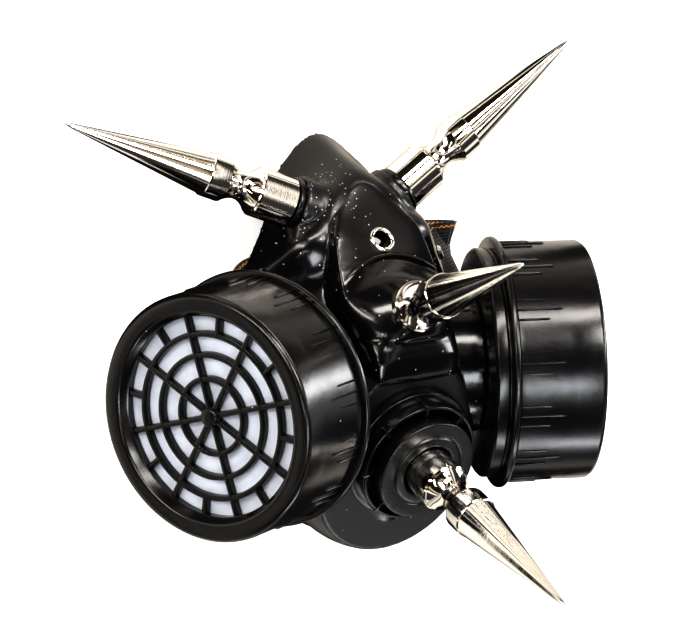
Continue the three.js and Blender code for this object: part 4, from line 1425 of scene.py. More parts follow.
    def grip_mesh(self, side: Side, ring: Tree, plastic: bpy.types.Material) -> bpy.types.Mesh:
        """The groups of thin grip ribs round the cap's rear.

        Args:
            side: The drum's side.
            ring: The tree that repeats the ribs.
            plastic: The material.

        Returns:
            The mesh in the model's frame.
        """
        rows = [(size * self.grip_width, share * self.grip_length) for share, size in self.grip_rows]
        rib = turned(rows, self.grip_sides)
        rib.points = rib.points * (1.0, self.grip_flat, 1.0) + (self.radius + self.grip_lift, 0.0, 0.0)
        base = mesh_from("grip_rib", rib, place=False)
        ribs = ring.run("grip_ribs", base, {
            "Groups": self.grip_groups, "Members": self.grip_members, "Pitch": math.radians(self.grip_pitch),
            "Turn": math.pi / self.grip_groups, "Side Length": self.grip_side, "Material": plastic})
        return seated_mesh(ribs, self.seat(side).moved(-self.length))

    def housing_shape(self) -> Shape:
        """The back housing: its lip, shallow cup, rounded rear and neck.

        Returns:
            The shape in the drum's frame.
        """
        lip, back, inside = -self.length - GAP, self.back, self.radius - self.wall - GAP
        rear, bore, core = lip - self.lip_length + GAP, self.neck_radius - self.wall, inside - self.wall
        neck, end = self.neck_radius, back - self.neck_length
        wide, outer = self.housing_radius, self.lip_radius
        depth, low, high = self.groove
        (edge, rise), (corner, over) = self.housing_edge, self.lip_edge
        rows = [(core, lip + self.sleeve), (core, back + self.wall), (bore, back + self.wall), (bore, end),
                (neck, end), (neck, back), (wide - edge, back), (wide, back + rise), (wide, rear - low),
                (wide - depth, rear - high), (wide - depth, rear), (outer - corner, rear),
                (outer, rear + over), (outer, lip - corner), (outer - corner, lip), (inside, lip),
                (inside, lip + self.sleeve)]
        return turned(rounded(rows, self.housing_round, closed=True), self.sides, closed=True)

    def pad_shape(self) -> Shape:
        """The felt pad, with a soft uneven face.

        Returns:
            The shape in the drum's frame.
        """
        top = -(self.grille_drop + self.grille_thickness + GAP)
        edge, foot, rings = self.radius - self.wall - GAP, top - self.pad_thickness, self.pad_rings
        rows = [(0.0, foot), (edge - self.pad_foot[0], foot), (edge, foot + self.pad_foot[1])]
        rows += [(edge - away, top - drop) for away, drop in self.pad_edge]
        rows += [(edge * (1 - step / rings), top - self.pad_sink) for step in range(1, rings)]
        shape = turned(rows + [(0.0, top - self.pad_sink)], self.pad_sides)
        upper = shape.points[:, 2] > top - self.pad_skin
        x, y = shape.points[:, 0], shape.points[:, 1]
        wave = self.ripple * np.sin(x * 1.3 + 1.7 * np.sin(y * 0.55))
        wave = wave * np.cos(y * 1.1 + 1.3 * np.sin(x * 0.7))
        shape.points[:, 2] += np.where(upper, wave, 0.0)
        return shape

    def build(self, side: Side, ring: Tree, plastic: bpy.types.Material, felt: bpy.types.Material) -> None:
        """Makes one drum's cap, housing and pad.

        Args:
            side: The drum's side.
            ring: The tree that repeats the grip ribs.
            plastic: The material of the cap and the housing.
            felt: The pad's material.
        """
        seat = self.seat(side)
        shell = painted("cap_shell", self.shell_shape().seated(seat), plastic)
        high, wide = -self.grille_drop + self.hub_rise, self.hub_radius
        rows = [(0, self.low), (wide, self.low), (wide, high - self.hub_slope), (0, high)]
        hub = painted("cap_hub", turned(rounded(rows, self.hub_round), self.hub_sides).seated(seat), plastic)
        web = self.web_mesh(side)
        web.materials.append(plastic)
        cap = merged("cap", [shell, hub, web, self.grip_mesh(side, ring, plastic)])
        deliver(f"cap_{side.word}", cap, "plastic", f"drum_cap_{side.word}", angle=38)
        housing = painted("housing", self.housing_shape().seated(seat), plastic)
        deliver(f"housing_{side.word}", housing, "plastic", f"drum_housing_{side.word}")
        pad = painted("pad", self.pad_shape().seated(seat), felt)
        deliver(f"pad_{side.word}", pad, "felt", f"filter_pad_{side.word}", angle=60)


class Skin(Enum):
    """The facepiece's finish on each of its moulded forms."""

    GLOSS = 0
    SATIN = 1


@dataclass(frozen=True)
class Facepiece:
    """The moulded hollow face form: flared body, raised panel and snout, chin bowl, sockets and bosses."""

    half_width: float = 47.0
    nose_rise: float = 80.0
    chin_drop: float = 61.0
    depth: float = 65.0
    rest_depth: float = 54.0
    wall: float = 2.4
    around: int = 120
    steps: int = 10
    tip_depth: float = 0.94
    tip_height: float = 0.45 * 33.6 - 0.55 * 41.5
    start_depth: float = 0.3
    panel_half_width: float = 16.0
    panel_top: float = 67.2
    panel_depth: float = 36.0
    panel_steps: int = 44
    panel_between: int = 4
    panel_least: float = 0.1
    bow_lean: float = 0.5
    proud: float = 0.8
    proud_span: Span = (0.68, 0.08)
    lip_high: float = 0.664
    lip_reach: float = 0.95
    lip_steps: int = 80
    lip_sides: int = 16
    lip_end: Span = (0.35, 0.65)
    lip_fade: int = 10
    lip_size: Span = (0.75, 1.15)
    bowl_radius: float = 34.6
    bowl_depth: float = 16.0
    bowl_drop: float = 25.6
    bowl_sides: tuple[int, int] = (96, 48)
    shield: Rows = ((0.95, -0.03), (1.27, 0.2), (1.55, 0.58), (1.72, 0.95), (1.7, 1.3))
    shield_depth: float = 16.0
    boss_radius: float = 10.6
    boss_length: float = 17.0
    boss_flare: float = 1.3
    boss_neck: Span = (0.2, 5.0)
    boss_sides: int = 64
    socket_radius: float = 24.0
    socket_depth: float = 14.0
    socket_sides: int = 96
    neck_clearance: float = 0.5
    neck_cut: Span = (-30.0, 2.0)
    neck_sides: int = 64
    eyelet_radius: float = 3.6
    eyelet_cut: Span = (-12.0, 6.0)
    eyelet_sides: int = 32
    fine: float = 0.75
    coarse: float = 1.3
    smoothing: int = 4
    pushes: Span = (0.5, -0.47)

    def face_rings(self) -> np.ndarray:
        """The flared body's outer surface.

        Returns:
            Rings of points from the rim to the front.
        """
        curves = []
        around = np.arange(self.around) / self.around
        for section in FACE_SECTIONS:
            near = []
            for wide, deep, high in zip(section.wide, section.deep, section.high):
                rise = self.nose_rise if high > 0 else self.chin_drop
                near.append((wide * self.half_width, self.rest_depth - deep * self.depth, high * rise))
            far = [(-x, y, z) for x, y, z in near[-2:0:-1]]
            curves.append(catmull(np.array(near + far), around, closed=True))
        shares = np.linspace(0, 1, (len(curves) - 1) * self.steps + 1)
        columns = [catmull(np.array([curve[step] for curve in curves]), shares, closed=False)
                   for step in range(self.around)]
        return np.asarray(columns).transpose(1, 0, 2)

    def body_form(self, inset: float) -> Shape:
        """The flared body. With an inset it runs on backwards, to leave the back open.

        Args:
            inset: How far it is shrunk, in millimetres.

        Returns:
            The closed shape.
        """
        rings = self.face_rings()
        forward = np.gradient(rings, axis=0)
        around = np.roll(rings, -1, axis=1) - np.roll(rings, 1, axis=1)
        normal = np.cross(around, forward)
        normal /= np.maximum(np.linalg.norm(normal, axis=2, keepdims=True), ROUND_OFF)
        if normal[self.steps * 2, 0, 2] < 0:
            normal = -normal
        rings = rings - normal * inset
        tip = np.array((0.0, self.rest_depth - self.tip_depth * self.depth + inset, self.tip_height))
        start = np.array((0.0, self.rest_depth - self.start_depth * self.depth, 0.0))
        if inset > 0:
            start = np.array((0.0, 2 * self.rest_depth, 0.0))
            rings = np.concatenate(((rings[0] + (0, self.rest_depth, 0))[None], rings))
        return lofted(rings, start, tip)

    def panel_surface(self, section: PanelSection, inset: float) -> np.ndarray:
        """One section of the raised panel.

        Args:
            section: The section's shares.
            inset: How far it is shrunk, in millimetres.

        Returns:
            The section as a ring of points.
        """
        width = max(self.panel_half_width * section.wide - inset, self.panel_least)
        edge = self.panel_depth * (1 - section.side) + inset
        reach = self.panel_depth * (section.front - section.side)
        level = self.panel_top * section.high - inset * (2 * section.high - 1)
        angles = np.linspace(0, math.pi, self.panel_steps + 1)
        power = 2 / section.round
        across = np.sign(np.cos(angles)) * np.abs(np.cos(angles)) ** power * width
        ahead = edge - reach * np.abs(np.sin(angles)) ** power
        hang = section.bow * self.panel_top * (across / self.panel_half_width) ** 2
        start, span = self.proud_span
        proud = self.proud * min(max((section.high - start) / span, 0.0), 1.0)
        ring = np.column_stack((across, ahead - self.bow_lean * hang - proud, level - hang))
        back, low = self.rest_depth / 2, level - hang[0]
        return np.vstack(((width, back, low), ring, (-width, back, low)))

    def panel_form(self, inset: float) -> Shape:
        """The raised panel with the snout round the middle spike.

        Args:
            inset: How far it is shrunk, in millimetres.

        Returns:
            The closed shape.
        """
        rows = np.array([(s.high, s.wide, s.front, s.side, s.round, s.bow) for s in PANEL_SECTIONS])
        smooth = catmull(rows, np.linspace(0, 1, (len(rows) - 1) * self.panel_between + 1), closed=False)
        rings = np.asarray([self.panel_surface(PanelSection(*row), inset) for row in smooth])
        back = self.rest_depth / 2 - 1
        return lofted(rings, np.array((0, back, rings[0, 0, 2])), np.array((0, back, rings[-1, 0, 2])))

    def lip_form(self) -> Shape:
        """The raised lip that arches over the snout.

        Returns:
            The closed shape.
        """
        section = next(s for s in PANEL_SECTIONS if s.high == self.lip_high)
        reach = np.linspace(-self.lip_reach, self.lip_reach, self.lip_steps + 1)
        x = reach * self.panel_half_width * section.wide
        share = np.abs(x / (self.panel_half_width * section.wide)) ** section.round
        ahead = (1 - share) ** (1 / section.round) * self.panel_depth * (section.front - section.side)
        hang = section.bow * self.panel_top * (x / self.panel_half_width) ** 2
        y = self.panel_depth * (1 - section.side) - ahead - self.bow_lean * hang
        path = np.column_stack((x, y, self.panel_top * section.high - hang))
        angles = np.linspace(0, 2 * math.pi, self.lip_sides, endpoint=False)
        (least, more), (wide, high) = self.lip_end, self.lip_size
        rings = []
        for index, (point, along) in enumerate(zip(path, np.gradient(path, axis=0))):
            side = unit(np.cross(along, (0, 1, 0)))
            out = unit(np.cross(side, along))
            size = least + more * min(1.0, index / self.lip_fade, (len(path) - 1 - index) / self.lip_fade)
            rings.append([point + size * (wide * math.cos(angle) * side + high * math.sin(angle) * out)
                          for angle in angles])
        return lofted(np.asarray(rings), path[0], path[-1])

    def bowl_form(self, valve: Valve, inset: float) -> Shape:
        """The chin bowl, a ball cut by the flat valve face.

        Args:
            valve: The valve on the flat face.
            inset: How far it is shrunk, in millimetres.

        Returns:
            The closed shape.
        """
        build = bmesh.new()
        around, up = self.bowl_sides
        bmesh.ops.create_uvsphere(build, u_segments=around, v_segments=up, radius=self.bowl_radius - inset)
        bmesh.ops.translate(build, verts=build.verts, vec=(0, self.bowl_depth, -self.bowl_drop))
        axis = Vector(valve.axis)
        plane = Vector(valve.face_point) - axis * inset
        cut = bmesh.ops.bisect_plane(build, geom=build.verts[:] + build.edges[:] + build.faces[:],
                                     plane_co=plane, plane_no=axis, clear_outer=True)
        rim = [item for item in cut["geom_cut"] if isinstance(item, bmesh.types.BMEdge)]
        bmesh.ops.edgeloop_fill(build, edges=rim)
        bmesh.ops.recalc_face_normals(build, faces=build.faces)
        build.verts.index_update()
        points = np.array([tuple(vert.co) for vert in build.verts])
        faces = [tuple(vert.index for vert in face.verts) for face in build.faces]
        build.free()
        return Shape(points, faces)

    def shield_form(self, valve: Valve, inset: float) -> Shape:
        """The flat shield between the panel's lower edge and the bowl.

        Args:
            valve: The valve on the flat face.
            inset: How far it is shrunk, in millimetres.

        Returns:
            The closed shape.
        """
        near = [(across * self.panel_half_width - inset, -down * valve.drop - (inset if down < 0 else 0))
                for across, down in self.shield]
        outline = near + [(-x, y) for x, y in reversed(near)]
        rings = np.array([[(x, y, height - inset) for x, y in outline]
                          for height in (-self.shield_depth, 0.0)])
        shape = lofted(rings, None, None)
        return shape.seated(Seat(valve.face_point, valve.axis, tuple(-valve.down)))

    def boss_forms(self, spikes: Spikes, valve: Valve) -> list[Shape]:
        """The round bosses under the side spikes.

        Args:
            spikes: The spikes.
            valve: The valve that carries the lowest spike.

        Returns:
            A closed shape a boss.
        """
        top, foot, (more, down) = -(spikes.washer_height + 2 * GAP), -self.boss_length, self.boss_neck
        rows = [(0, foot), (self.boss_flare * self.boss_radius, foot), (self.boss_radius + more, top - down),
                (self.boss_radius, top), (0, top)]
        seats = spikes.seats(valve)
        return [turned(rows, self.boss_sides).seated(seats[f"spike_{side.word}"]) for side in Side]

    def remeshed(self, name: str, shape: Shape, size: float) -> bpy.types.Mesh:
        """One clean skin round overlapping forms, with its junctions smoothed.

        Args:
            name: The mesh's name.
            shape: The overlapping closed forms.
            size: The step of the new skin, in millimetres.

        Returns:
            The skin, in the model's frame.
        """
        source = mesh_from(name + "_forms", shape)
        flat = np.zeros(len(source.vertices) * 3)
        source.vertices.foreach_get("co", flat)
        tree = BVHTree.FromPolygons([tuple(p) for p in flat.reshape(-1, 3)], shape.faces)
        thing = add_object(name, source)
        modifier = thing.modifiers.new("Remesh", "REMESH")
        modifier.mode = "VOXEL"
        modifier.voxel_size = size * MM
        skin = evaluated(thing, name)
        count = len(skin.vertices)
        points = np.zeros(count * 3)
        skin.vertices.foreach_get("co", points)
        points = points.reshape(-1, 3)
        for index in range(count):
            found = tree.find_nearest(Vector(points[index]), 2 * size * MM)[0]
            if found is not None:
                points[index] = found
        edges = np.zeros(len(skin.edges) * 2, int)
        skin.edges.foreach_get("vertices", edges)
        one, other = edges.reshape(-1, 2).T
        valence = np.bincount(edges, minlength=count)[:, None]
        for step in range(2 * self.smoothing):
            total = np.zeros_like(points)
            np.add.at(total, one, points[other])
            np.add.at(total, other, points[one])
            points += self.pushes[step % 2] * (total / valence - points)
        skin.vertices.foreach_set("co", points.ravel())
        skin.update()
        return skin

    def cutter(self, drum: Drum, valve: Valve, eyelet: "Eyelet") -> Shape:
        """What is cut away: the inside of every form, the drums' bores and the eyelet's hole.

        Args:
            drum: The drum that plugs into each cheek socket.
            valve: The valve on the flat face.
            eyelet: The eyelet in the panel.

        Returns:
            The overlapping closed forms.
        """
        shape = self.body_form(self.wall).joined(self.panel_form(self.wall))
        shape = shape.joined(self.bowl_form(valve, self.wall)).joined(self.shield_form(valve, self.wall))
        bore = rod(drum.neck_radius + self.neck_clearance, *self.neck_cut, self.neck_sides)
        for side in Side:
            shape = shape.joined(bore.seated(drum.seat(side).moved(drum.back)))
        hole = rod(self.eyelet_radius, *self.eyelet_cut, self.eyelet_sides)
        return shape.joined(hole.seated(eyelet.seat))

    def build(self, drum: Drum, valve: Valve, spikes: Spikes, eyelet: "Eyelet",
              skins: dict[Skin, bpy.types.Material]) -> None:
        """Makes the facepiece.

        Args:
            drum: The drum that plugs into each cheek socket.
            valve: The valve on the flat face.
            spikes: The spikes on the bosses.
            eyelet: The eyelet in the panel.
            skins: The material of each finish.
        """
        glossy = self.body_form(0.0).joined(self.panel_form(0.0))
        for boss in self.boss_forms(spikes, valve):
            glossy = glossy.joined(boss)
        socket = rod(self.socket_radius, -self.socket_depth, 0, self.socket_sides)
        for side in Side:
            glossy = glossy.joined(socket.seated(drum.seat(side).moved(drum.back - GAP)))
        satin = self.bowl_form(valve, 0.0).joined(self.shield_form(valve, 0.0))
        whole = glossy.joined(satin)
        skin = self.remeshed("facepiece", whole, self.fine)
        tree = BVHTree.FromPolygons([tuple(p) for p in FRAME.place(whole.points)], whole.faces)
        for kind in Skin:
            skin.materials.append(skins[kind])
        for face in skin.polygons:
            index = tree.find_nearest(face.center)[2]
            face.material_index = (Skin.SATIN if index >= len(glossy.faces) else Skin.GLOSS).value
        inside = self.remeshed("facepiece_inside", self.cutter(drum, valve, eyelet), self.coarse)
        inside.materials.append(skins[Skin.SATIN])
        thing, knife = add_object("facepiece", skin), add_object("facepiece_inside", inside)
        cut = thing.modifiers.new("Hollow", "BOOLEAN")
        cut.operation = "DIFFERENCE"
        cut.solver = "MANIFOLD"
        cut.object = knife
        mesh = evaluated(thing, "facepiece_hollow")
        bpy.data.objects.remove(knife)
        lip = painted("snout_lip", self.lip_form(), skins[Skin.GLOSS])
        whole_mesh = merged("facepiece_moulded", [mesh, lip])
        deliver("facepiece_moulded", whole_mesh, "rubber", "facepiece", angle=50)


@dataclass(frozen=True)
class Eyelet:
    """The small turned eyelet in the panel, placed between two heights and depths of the panel."""

    above: Span = (0.762, 0.637)
    below: Span = (0.664, 0.765)
    share: float = 0.3
    radius: float = 4.8
    hole: float = 3.0
    rim: float = 1.1
    rim_edge: Triple = (0.35, 1.0, 0.25)
    rim_depth: float = 0.9
    barrel: float = 0.5
    flange: Triple = (1.2, -4.7, -3.9)
    round: float = 0.4
    sides: int = 64

    @property
    def seat(self) -> Seat:
        """The local frame at the eyelet, square to the panel.

        Returns:
            The frame.
        """
        depth, top = Facepiece.panel_depth, Facepiece.panel_top
        ends = [np.array((0.0, depth - front * depth, high * top))
                for high, front in (self.above, self.below)]
        slope = unit(ends[0] - ends[1])
        point = ends[0] + (ends[1] - ends[0]) * self.share
        return Seat(tuple(point), (0.0, -slope[2], slope[1]))

    def build(self, nickel: bpy.types.Material) -> None:
        """Makes the eyelet.

        Args:
            nickel: The material.
        """
        top, hole, barrel = GAP + self.rim, self.hole, self.hole + self.barrel
        (wide, low, high), (edge, crest, drop) = self.flange, self.rim_edge
        rows = [(hole, low), (barrel + wide, low), (barrel + wide, high), (barrel, high), (barrel, 0.0),
                (self.radius, 0.0), (self.radius - edge, top - edge), (self.radius - crest, top),
                (hole + edge, top - drop), (hole, top - self.rim_depth)]
        shape = turned(rounded(rows, self.round, closed=True), self.sides, closed=True)
        deliver("eyelet_turned", painted("eyelet", shape.seated(self.seat), nickel), "steel", "eyelet")


@dataclass(frozen=True)
class StrapStation:
    """One place on the strap's route, as shares of the face's sizes, and its lean from upright in degrees."""

    wide: float
    deep: float
    high: float
    lean: float


STRAP_ROUTE = tuple(StrapStation(*row) for row in (
    (0.69, 0.573, 0.355, 28), (0.735, 0.67, 0.355, 28), (0.86, 0.815, 0.388, 27), (1.03, 0.838, 0.415, 29),
    (1.085, 0.868, 0.42, 30), (1.03, 0.888, 0.425, 29), (0.88, 0.876, 0.43, 28), (0.67, 0.835, 0.4, 38),
    (0.63, 0.77, 0.26, 66), (0.62, 0.77, 0.07, 86), (0.61, 0.77, -0.18, 90), (0.5, 0.77, -0.46, 90),
    (0.28, 0.77, -0.67, 90), (0, 0.77, -0.75, 90), (-0.28, 0.77, -0.67, 90), (-0.5, 0.77, -0.46, 90),
    (-0.61, 0.77, -0.18, 90), (-0.6, 0.77, 0.03, 88), (-0.55, 0.77, 0.18, 80), (-0.52, 0.78, 0.31, 60),
    (-0.56, 0.8, 0.39, 40), (-0.6, 0.805, 0.385, 33), (-0.645, 0.795, 0.37, 31), (-0.66, 0.745, 0.345, 30),
    (-0.674, 0.668, 0.345, 29), (-0.668, 0.575, 0.345, 29),
))


@dataclass(frozen=True)
class Strap:
    """The woven elastic strap with its zig-zag thread."""

    width: float = 22.0
    thickness: float = 1.3
    columns: tuple[float, ...] = (-1.0, -0.985, -0.9, -0.6, -0.2, 0.2, 0.6, 0.9, 0.985, 1.0)
    edge: float = 0.55
    steps: int = 8
    thread_inset: float = 1.5
    thread_skip: int = 2
    thread_pitch: float = 0.85
    thread_reach: float = 0.35
    thread_radius: float = 0.2

    def frames(self, face: Facepiece) -> tuple[np.ndarray, np.ndarray, np.ndarray]:
        """Points of the centre line, with the directions across the strap and out of it.

        Args:
            face: The facepiece, whose sizes the route's shares are of.

        Returns:
            The points, the across directions and the outward directions.
        """
        places = []
        for station in STRAP_ROUTE:
            rise = face.nose_rise if station.high > 0 else face.chin_drop
            places.append((station.wide * face.half_width, station.deep * face.rest_depth,
                           station.high * rise))
        spans = len(STRAP_ROUTE) - 1
        shares = np.linspace(0, 1, spans * self.steps + 1)
        points = catmull(np.array(places), shares, closed=False)
        tangents = np.gradient(points, axis=0)
        tangents /= np.linalg.norm(tangents, axis=1, keepdims=True)
        leans = np.radians(np.interp(shares * spans, range(spans + 1), [s.lean for s in STRAP_ROUTE]))
        across = np.column_stack((np.zeros_like(leans), np.sin(leans), np.cos(leans)))
        across -= tangents * np.sum(across * tangents, axis=1, keepdims=True)
        across /= np.linalg.norm(across, axis=1, keepdims=True)
        return points, across, np.cross(tangents, across)

    def band(self, face: Facepiece) -> Shape:
        """The woven band.

        Args:
            face: The facepiece.

        Returns:
            The shape, with millimetres across and along it as pattern coordinates.
        """
        points, across, out = self.frames(face)
        half, thick = self.width / 2, self.thickness / 2
        upper = [(c * half, thick * (self.edge if abs(c) == 1 else 1.0)) for c in self.columns]
        section = [(u, -v) for u, v in upper] + upper[::-1]
        lengths = np.concatenate(((0,), np.cumsum(np.linalg.norm(np.diff(points, axis=0), axis=1))))
        rings = np.array([[p + a * u + o * v for u, v in section] for p, a, o in zip(points, across, out)])
        shape = lofted(rings, points[0], points[-1])
        for vertices in shape.faces:
            for index in vertices:
                row, column = divmod(index, len(section))
                inside = row < len(points)
                shape.corners.append((section[column][0], lengths[row]) if inside else (0.0, 0.0))
        return shape

    def thread(self, face: Facepiece, sign: int, tree: Tree, orange: bpy.types.Material) -> bpy.types.Mesh:
        """The zig-zag thread along one face of the band.

        Args:
            face: The facepiece.
            sign: Which face of the band, as a sign.
            tree: The tree that sews the thread.
            orange: The thread's material.

        Returns:
            The thread's mesh.
        """
        skip = self.thread_skip
        points, across, out = (rows[skip:-skip] for rows in self.frames(face))
        line = points + across * (self.width / 2 - self.thread_inset) + out * sign * (self.thickness / 2)
        mesh = bpy.data.meshes.new("thread_line")
        mesh.from_pydata(FRAME.place(line).tolist(), [(k, k + 1) for k in range(len(line) - 1)], [])
        layer = mesh.attributes.new("Across", "FLOAT_VECTOR", "POINT")
        layer.data.foreach_set("vector", np.array([tuple(FRAME.turn(a)) for a in across]).ravel())
        return tree.run("thread", mesh, {
            "Pitch": self.thread_pitch * MM, "Reach": self.thread_reach * MM,
            "Radius": self.thread_radius * MM, "Material": orange})

    def build(self, face: Facepiece, tree: Tree, webbing: bpy.types.Material,
              orange: bpy.types.Material) -> None:
        """Makes the band and its thread.

        Args:
            face: The facepiece.
            tree: The tree that sews the thread.
            webbing: The band's material.
            orange: The thread's material.
        """
        deliver("strap_woven", painted("strap", self.band(face), webbing), "webbing", "strap", angle=60)
        threads = [self.thread(face, sign, tree, orange) for sign in (-1, 1)]
        deliver("strap_thread", merged("strap_thread", threads), "webbing", angle=60)


@dataclass(frozen=True)
class Softbox:
    """A soft rectangular light: where it stands, its width and height, its power in watts and its colour."""

    name: str
    place: Triple
    size: Span
    power: float
    color: Triple = (1.0, 1.0, 1.0)


@dataclass(frozen=True)
class Studio:
    """The plain floor, the soft lights, the bright surroundings and the camera."""

    lens: float = 166.4
    sensor: float = 36.0
    clip: Span = (0.05, 20.0)
    eye: Triple = (-0.581978, 0.253361, 0.944150)
    right: Triple = (0.844167, 0.0, 0.536080)
    up: Triple = (0.124282, 0.972755, -0.195707)
    aim: Triple = (0.0, 0.0, 0.06)
    half_floor: float = 4.0
    paper: Triple = (0.93, 0.93, 0.93)
    paper_scale: float = 60.0
    paper_height: float = 0.00005
    glow: float = 0.5
    # Painted reflection: the span, dark colour and light colour of the bands that glossy rays see on the
    # floor.
    painted_reflection_span: Span = (0.3, 0.42)
    painted_reflection_dark: Triple = (0.008, 0.008, 0.008)
    painted_reflection_light: Triple = (0.72, 0.68, 0.62)
    bright_side: Triple = (-0.62, 0.62, 0.48)
    bands: tuple[tuple[float, Triple], ...] = (
        (0.0, (0.04, 0.04, 0.045)), (0.19, (0.04, 0.04, 0.045)), (0.22, (0.85, 0.85, 0.83)),
        (0.33, (0.7, 0.68, 0.64)), (0.36, (0.03, 0.03, 0.03)), (0.60, (0.06, 0.055, 0.05)),
        (0.635, (1.0, 0.95, 0.88)), (0.665, (0.95, 0.88, 0.8)), (0.68, (0.03, 0.025, 0.02)),
        (0.72, (0.03, 0.025, 0.02)), (0.735, (0.8, 0.7, 0.56)), (0.765, (0.45, 0.36, 0.26)),
        (0.785, (0.02, 0.016, 0.012)), (0.945, (0.02, 0.016, 0.012)), (0.965, (0.5, 0.42, 0.3)),
        (0.985, (0.05, 0.04, 0.03)), (1.0, (0.05, 0.04, 0.03)),
    )
    lights: tuple[Softbox, ...] = (
        Softbox("SoftboxUpper", (-0.15, 1.25, 1.0), (1.1, 0.26), 14.0, (1.0, 0.96, 0.9)),
        Softbox("SoftboxLeft", (-1.15, 0.65, 0.55), (0.2, 1.1), 8.5, (1.0, 0.95, 0.88)),
        Softbox("SoftboxBridge", (0.25, 0.75, 1.25), (0.55, 0.35), 9.0, (1.0, 0.97, 0.94)),
        Softbox("SoftboxRight", (1.25, 0.25, 0.7), (0.22, 1.0), 9.0),
        Softbox("SoftboxFront", (-0.35, -0.35, 1.35), (0.3, 0.5), 5.0, (0.9, 0.95, 1.0)),
        Softbox("SoftboxLow", (0.2, -1.2, 0.5), (0.9, 0.16), 4.0, (0.92, 0.96, 1.0)),
        Softbox("StripFront", (-0.78, 0.0, 1.0), (0.05, 0.6), 0.9, (1.0, 0.98, 0.95)),
        Softbox("StripSide", (-1.0, 0.9, 0.85), (0.06, 0.7), 1.1, (1.0, 0.98, 0.95)),
    )

    def camera(self) -> None:
        """Sets the camera at the photograph's angle."""
        data = bpy.data.cameras.new("Camera")
        data.lens = self.lens
        data.sensor_width = self.sensor
        data.clip_start, data.clip_end = self.clip
        right, up = Vector(self.right).normalized(), Vector(self.up)
        back = right.cross(up).normalized()
        up = back.cross(right)
        place = Matrix((right, up, back)).transposed().to_4x4()
        place.translation = Vector(self.eye)
        camera = bpy.data.objects.new("Camera", data)
        camera.matrix_world = place
        bpy.context.scene.collection.objects.link(camera)
        bpy.context.scene.camera = camera

    def floor(self) -> None:
        """Lays the plain pale floor, which mirrors show as soft dark and light bands: a painted reflection
        that glossy rays see in place of the paper colour.
        """
        mesh = bpy.data.meshes.new("floor")
        half = self.half_floor
        corners = [(-half, -half, 0), (half, -half, 0), (half, half, 0), (-half, half, 0)]
        mesh.from_pydata(corners, [], [(0, 1, 2, 3)])
        paint = Paint("floor_paper", self.paper, roughness=0.9, specular_ior_level=0.1)
        paint.feed(paint.bump(paint.noise(self.paper_scale), self.paper_height), "Normal")
        ray = paint.node("ShaderNodeLightPath").outputs
        # Painted reflection: glossy rays see the floor as dark and light wave bands in place of its pale
        # paper colour.
        wave = paint.node("ShaderNodeTexWave", {
            "Vector": paint.place(), "Scale": 2.4, "Distortion": 2.5, "Detail": 0.0, "Detail Scale": 0.6,
            "Phase Offset": 1.2}, bands_direction="DIAGONAL")
        share = paint.span(wave.outputs["Fac"], self.painted_reflection_span)
        painted_reflection_color = paint.blend(share, self.painted_reflection_dark, self.painted_reflection_light)
        paint.feed(paint.blend(ray["Is Glossy Ray"], self.paper, painted_reflection_color), "Base Color")
        paint.shader.inputs["Emission Color"].default_value = (1.0, 1.0, 1.0, 1.0)
        paint.feed(paint.math("MULTIPLY", ray["Is Camera Ray"], self.glow), "Emission Strength")
        mesh.materials.append(paint.material)
        add_object("floor", mesh)

    def world(self) -> None:
        """Surrounds the scene with a dark room that has soft bright bands towards the upper left."""
        world = bpy.data.worlds.new("Room")
        world.use_nodes = True
        lay = Nodes(world.node_tree)
        background = next(node for node in lay.tree.nodes if node.type == "BACKGROUND")
        place = lay.node("ShaderNodeTexCoord").outputs["Generated"]
        side = Vector(self.bright_side).normalized()
        toward = lay.node("ShaderNodeVectorMath", {0: place, 1: side}, operation="DOT_PRODUCT")
        share = lay.math("MULTIPLY_ADD", toward.outputs["Value"], 0.5, 0.5)
        ramp = lay.node("ShaderNodeValToRGB", {0: share})
        elements = ramp.color_ramp.elements
        for element, (position, color) in zip((elements[0], elements[1]), (self.bands[0], self.bands[-1])):
            element.position, element.color = position, (*color, 1.0)
        for position, color in self.bands[1:-1]:
            elements.new(position).color = (*color, 1.0)
        lay.tree.links.new(ramp.outputs[0], background.inputs["Color"])
        background.inputs["Strength"].default_value = 1.0
        bpy.context.scene.world = world

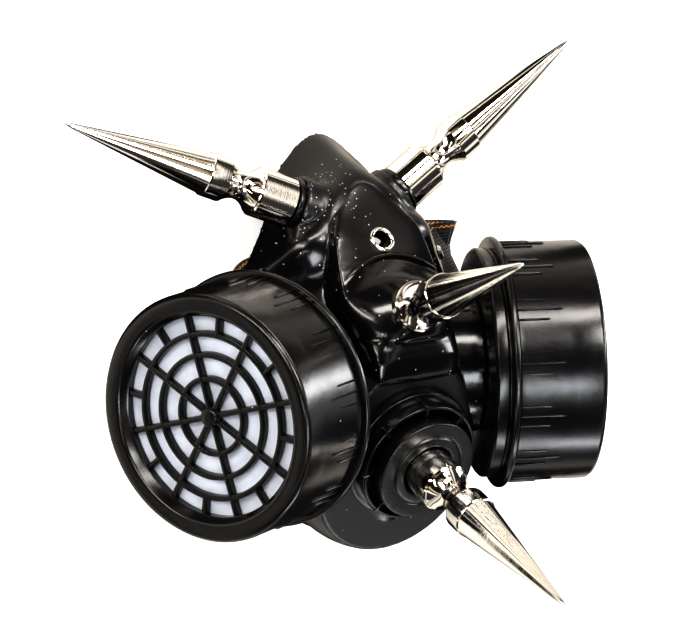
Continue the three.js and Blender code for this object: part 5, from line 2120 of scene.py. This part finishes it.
    def light(self, box: Softbox) -> None:
        """Adds a soft rectangular light aimed at the mask.

        Args:
            box: The light.
        """
        data = bpy.data.lights.new(box.name, "AREA")
        data.shape = "RECTANGLE"
        data.size, data.size_y = box.size
        data.energy = box.power
        data.color = box.color
        lamp = bpy.data.objects.new(box.name, data)
        lamp.location = box.place
        lamp.rotation_mode = "QUATERNION"
        lamp.rotation_quaternion = (Vector(self.aim) - Vector(box.place)).to_track_quat("-Z", "Y")
        bpy.context.scene.collection.objects.link(lamp)

    def build(self) -> None:
        """Sets the stage."""
        self.camera()
        self.floor()
        self.world()
        for box in self.lights:
            self.light(box)
        settings = bpy.context.scene.view_settings
        settings.view_transform = "Standard"
        settings.look = "High Contrast"


def main() -> None:
    """Builds every piece in order and sets the stage."""
    logging.basicConfig(level=logging.INFO, format="%(name)s %(message)s")
    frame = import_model()
    Studio().build()
    ring, thread = ring_tree(), thread_tree()
    plastic = PlasticFinish().build()
    ring_plastic = PlasticFinish(name="plastic_ring", low=0.12, high=0.18).build()
    disc_plastic = PlasticFinish(name="plastic_disc", low=0.22, high=0.3).build()
    nickel = NickelFinish().build()
    skins = {
        Skin.GLOSS: RubberFinish().build(),
        Skin.SATIN: RubberFinish(name="rubber_satin", low=0.3, high=0.42, specks=0.008,
                                 color=(0.009, 0.009, 0.0095)).build(),
    }
    valve, spikes, drum, face, eyelet = Valve(), Spikes(), Drum(), Facepiece(), Eyelet()
    face.build(drum, valve, spikes, eyelet, skins)
    felt = FeltFinish().build()
    for side in Side:
        drum.build(side, ring, plastic, felt)
    deliver("valve_ring", valve.body_mesh(ring, ring_plastic), "plastic", "valve_body")
    deliver("valve_disc", valve.cap_mesh(disc_plastic), "plastic", "valve_cap")
    spikes.build(valve, nickel, plastic)
    eyelet.build(nickel)
    Strap().build(face, thread, WebbingFinish().build(), ThreadFinish().build())
    for side in Side:
        rivet = frame["nodes"][f"strap_rivet_{side.word}"]
        rivet.data.materials.clear()
        rivet.data.materials.append(nickel)


if __name__ == "__main__":
    main()
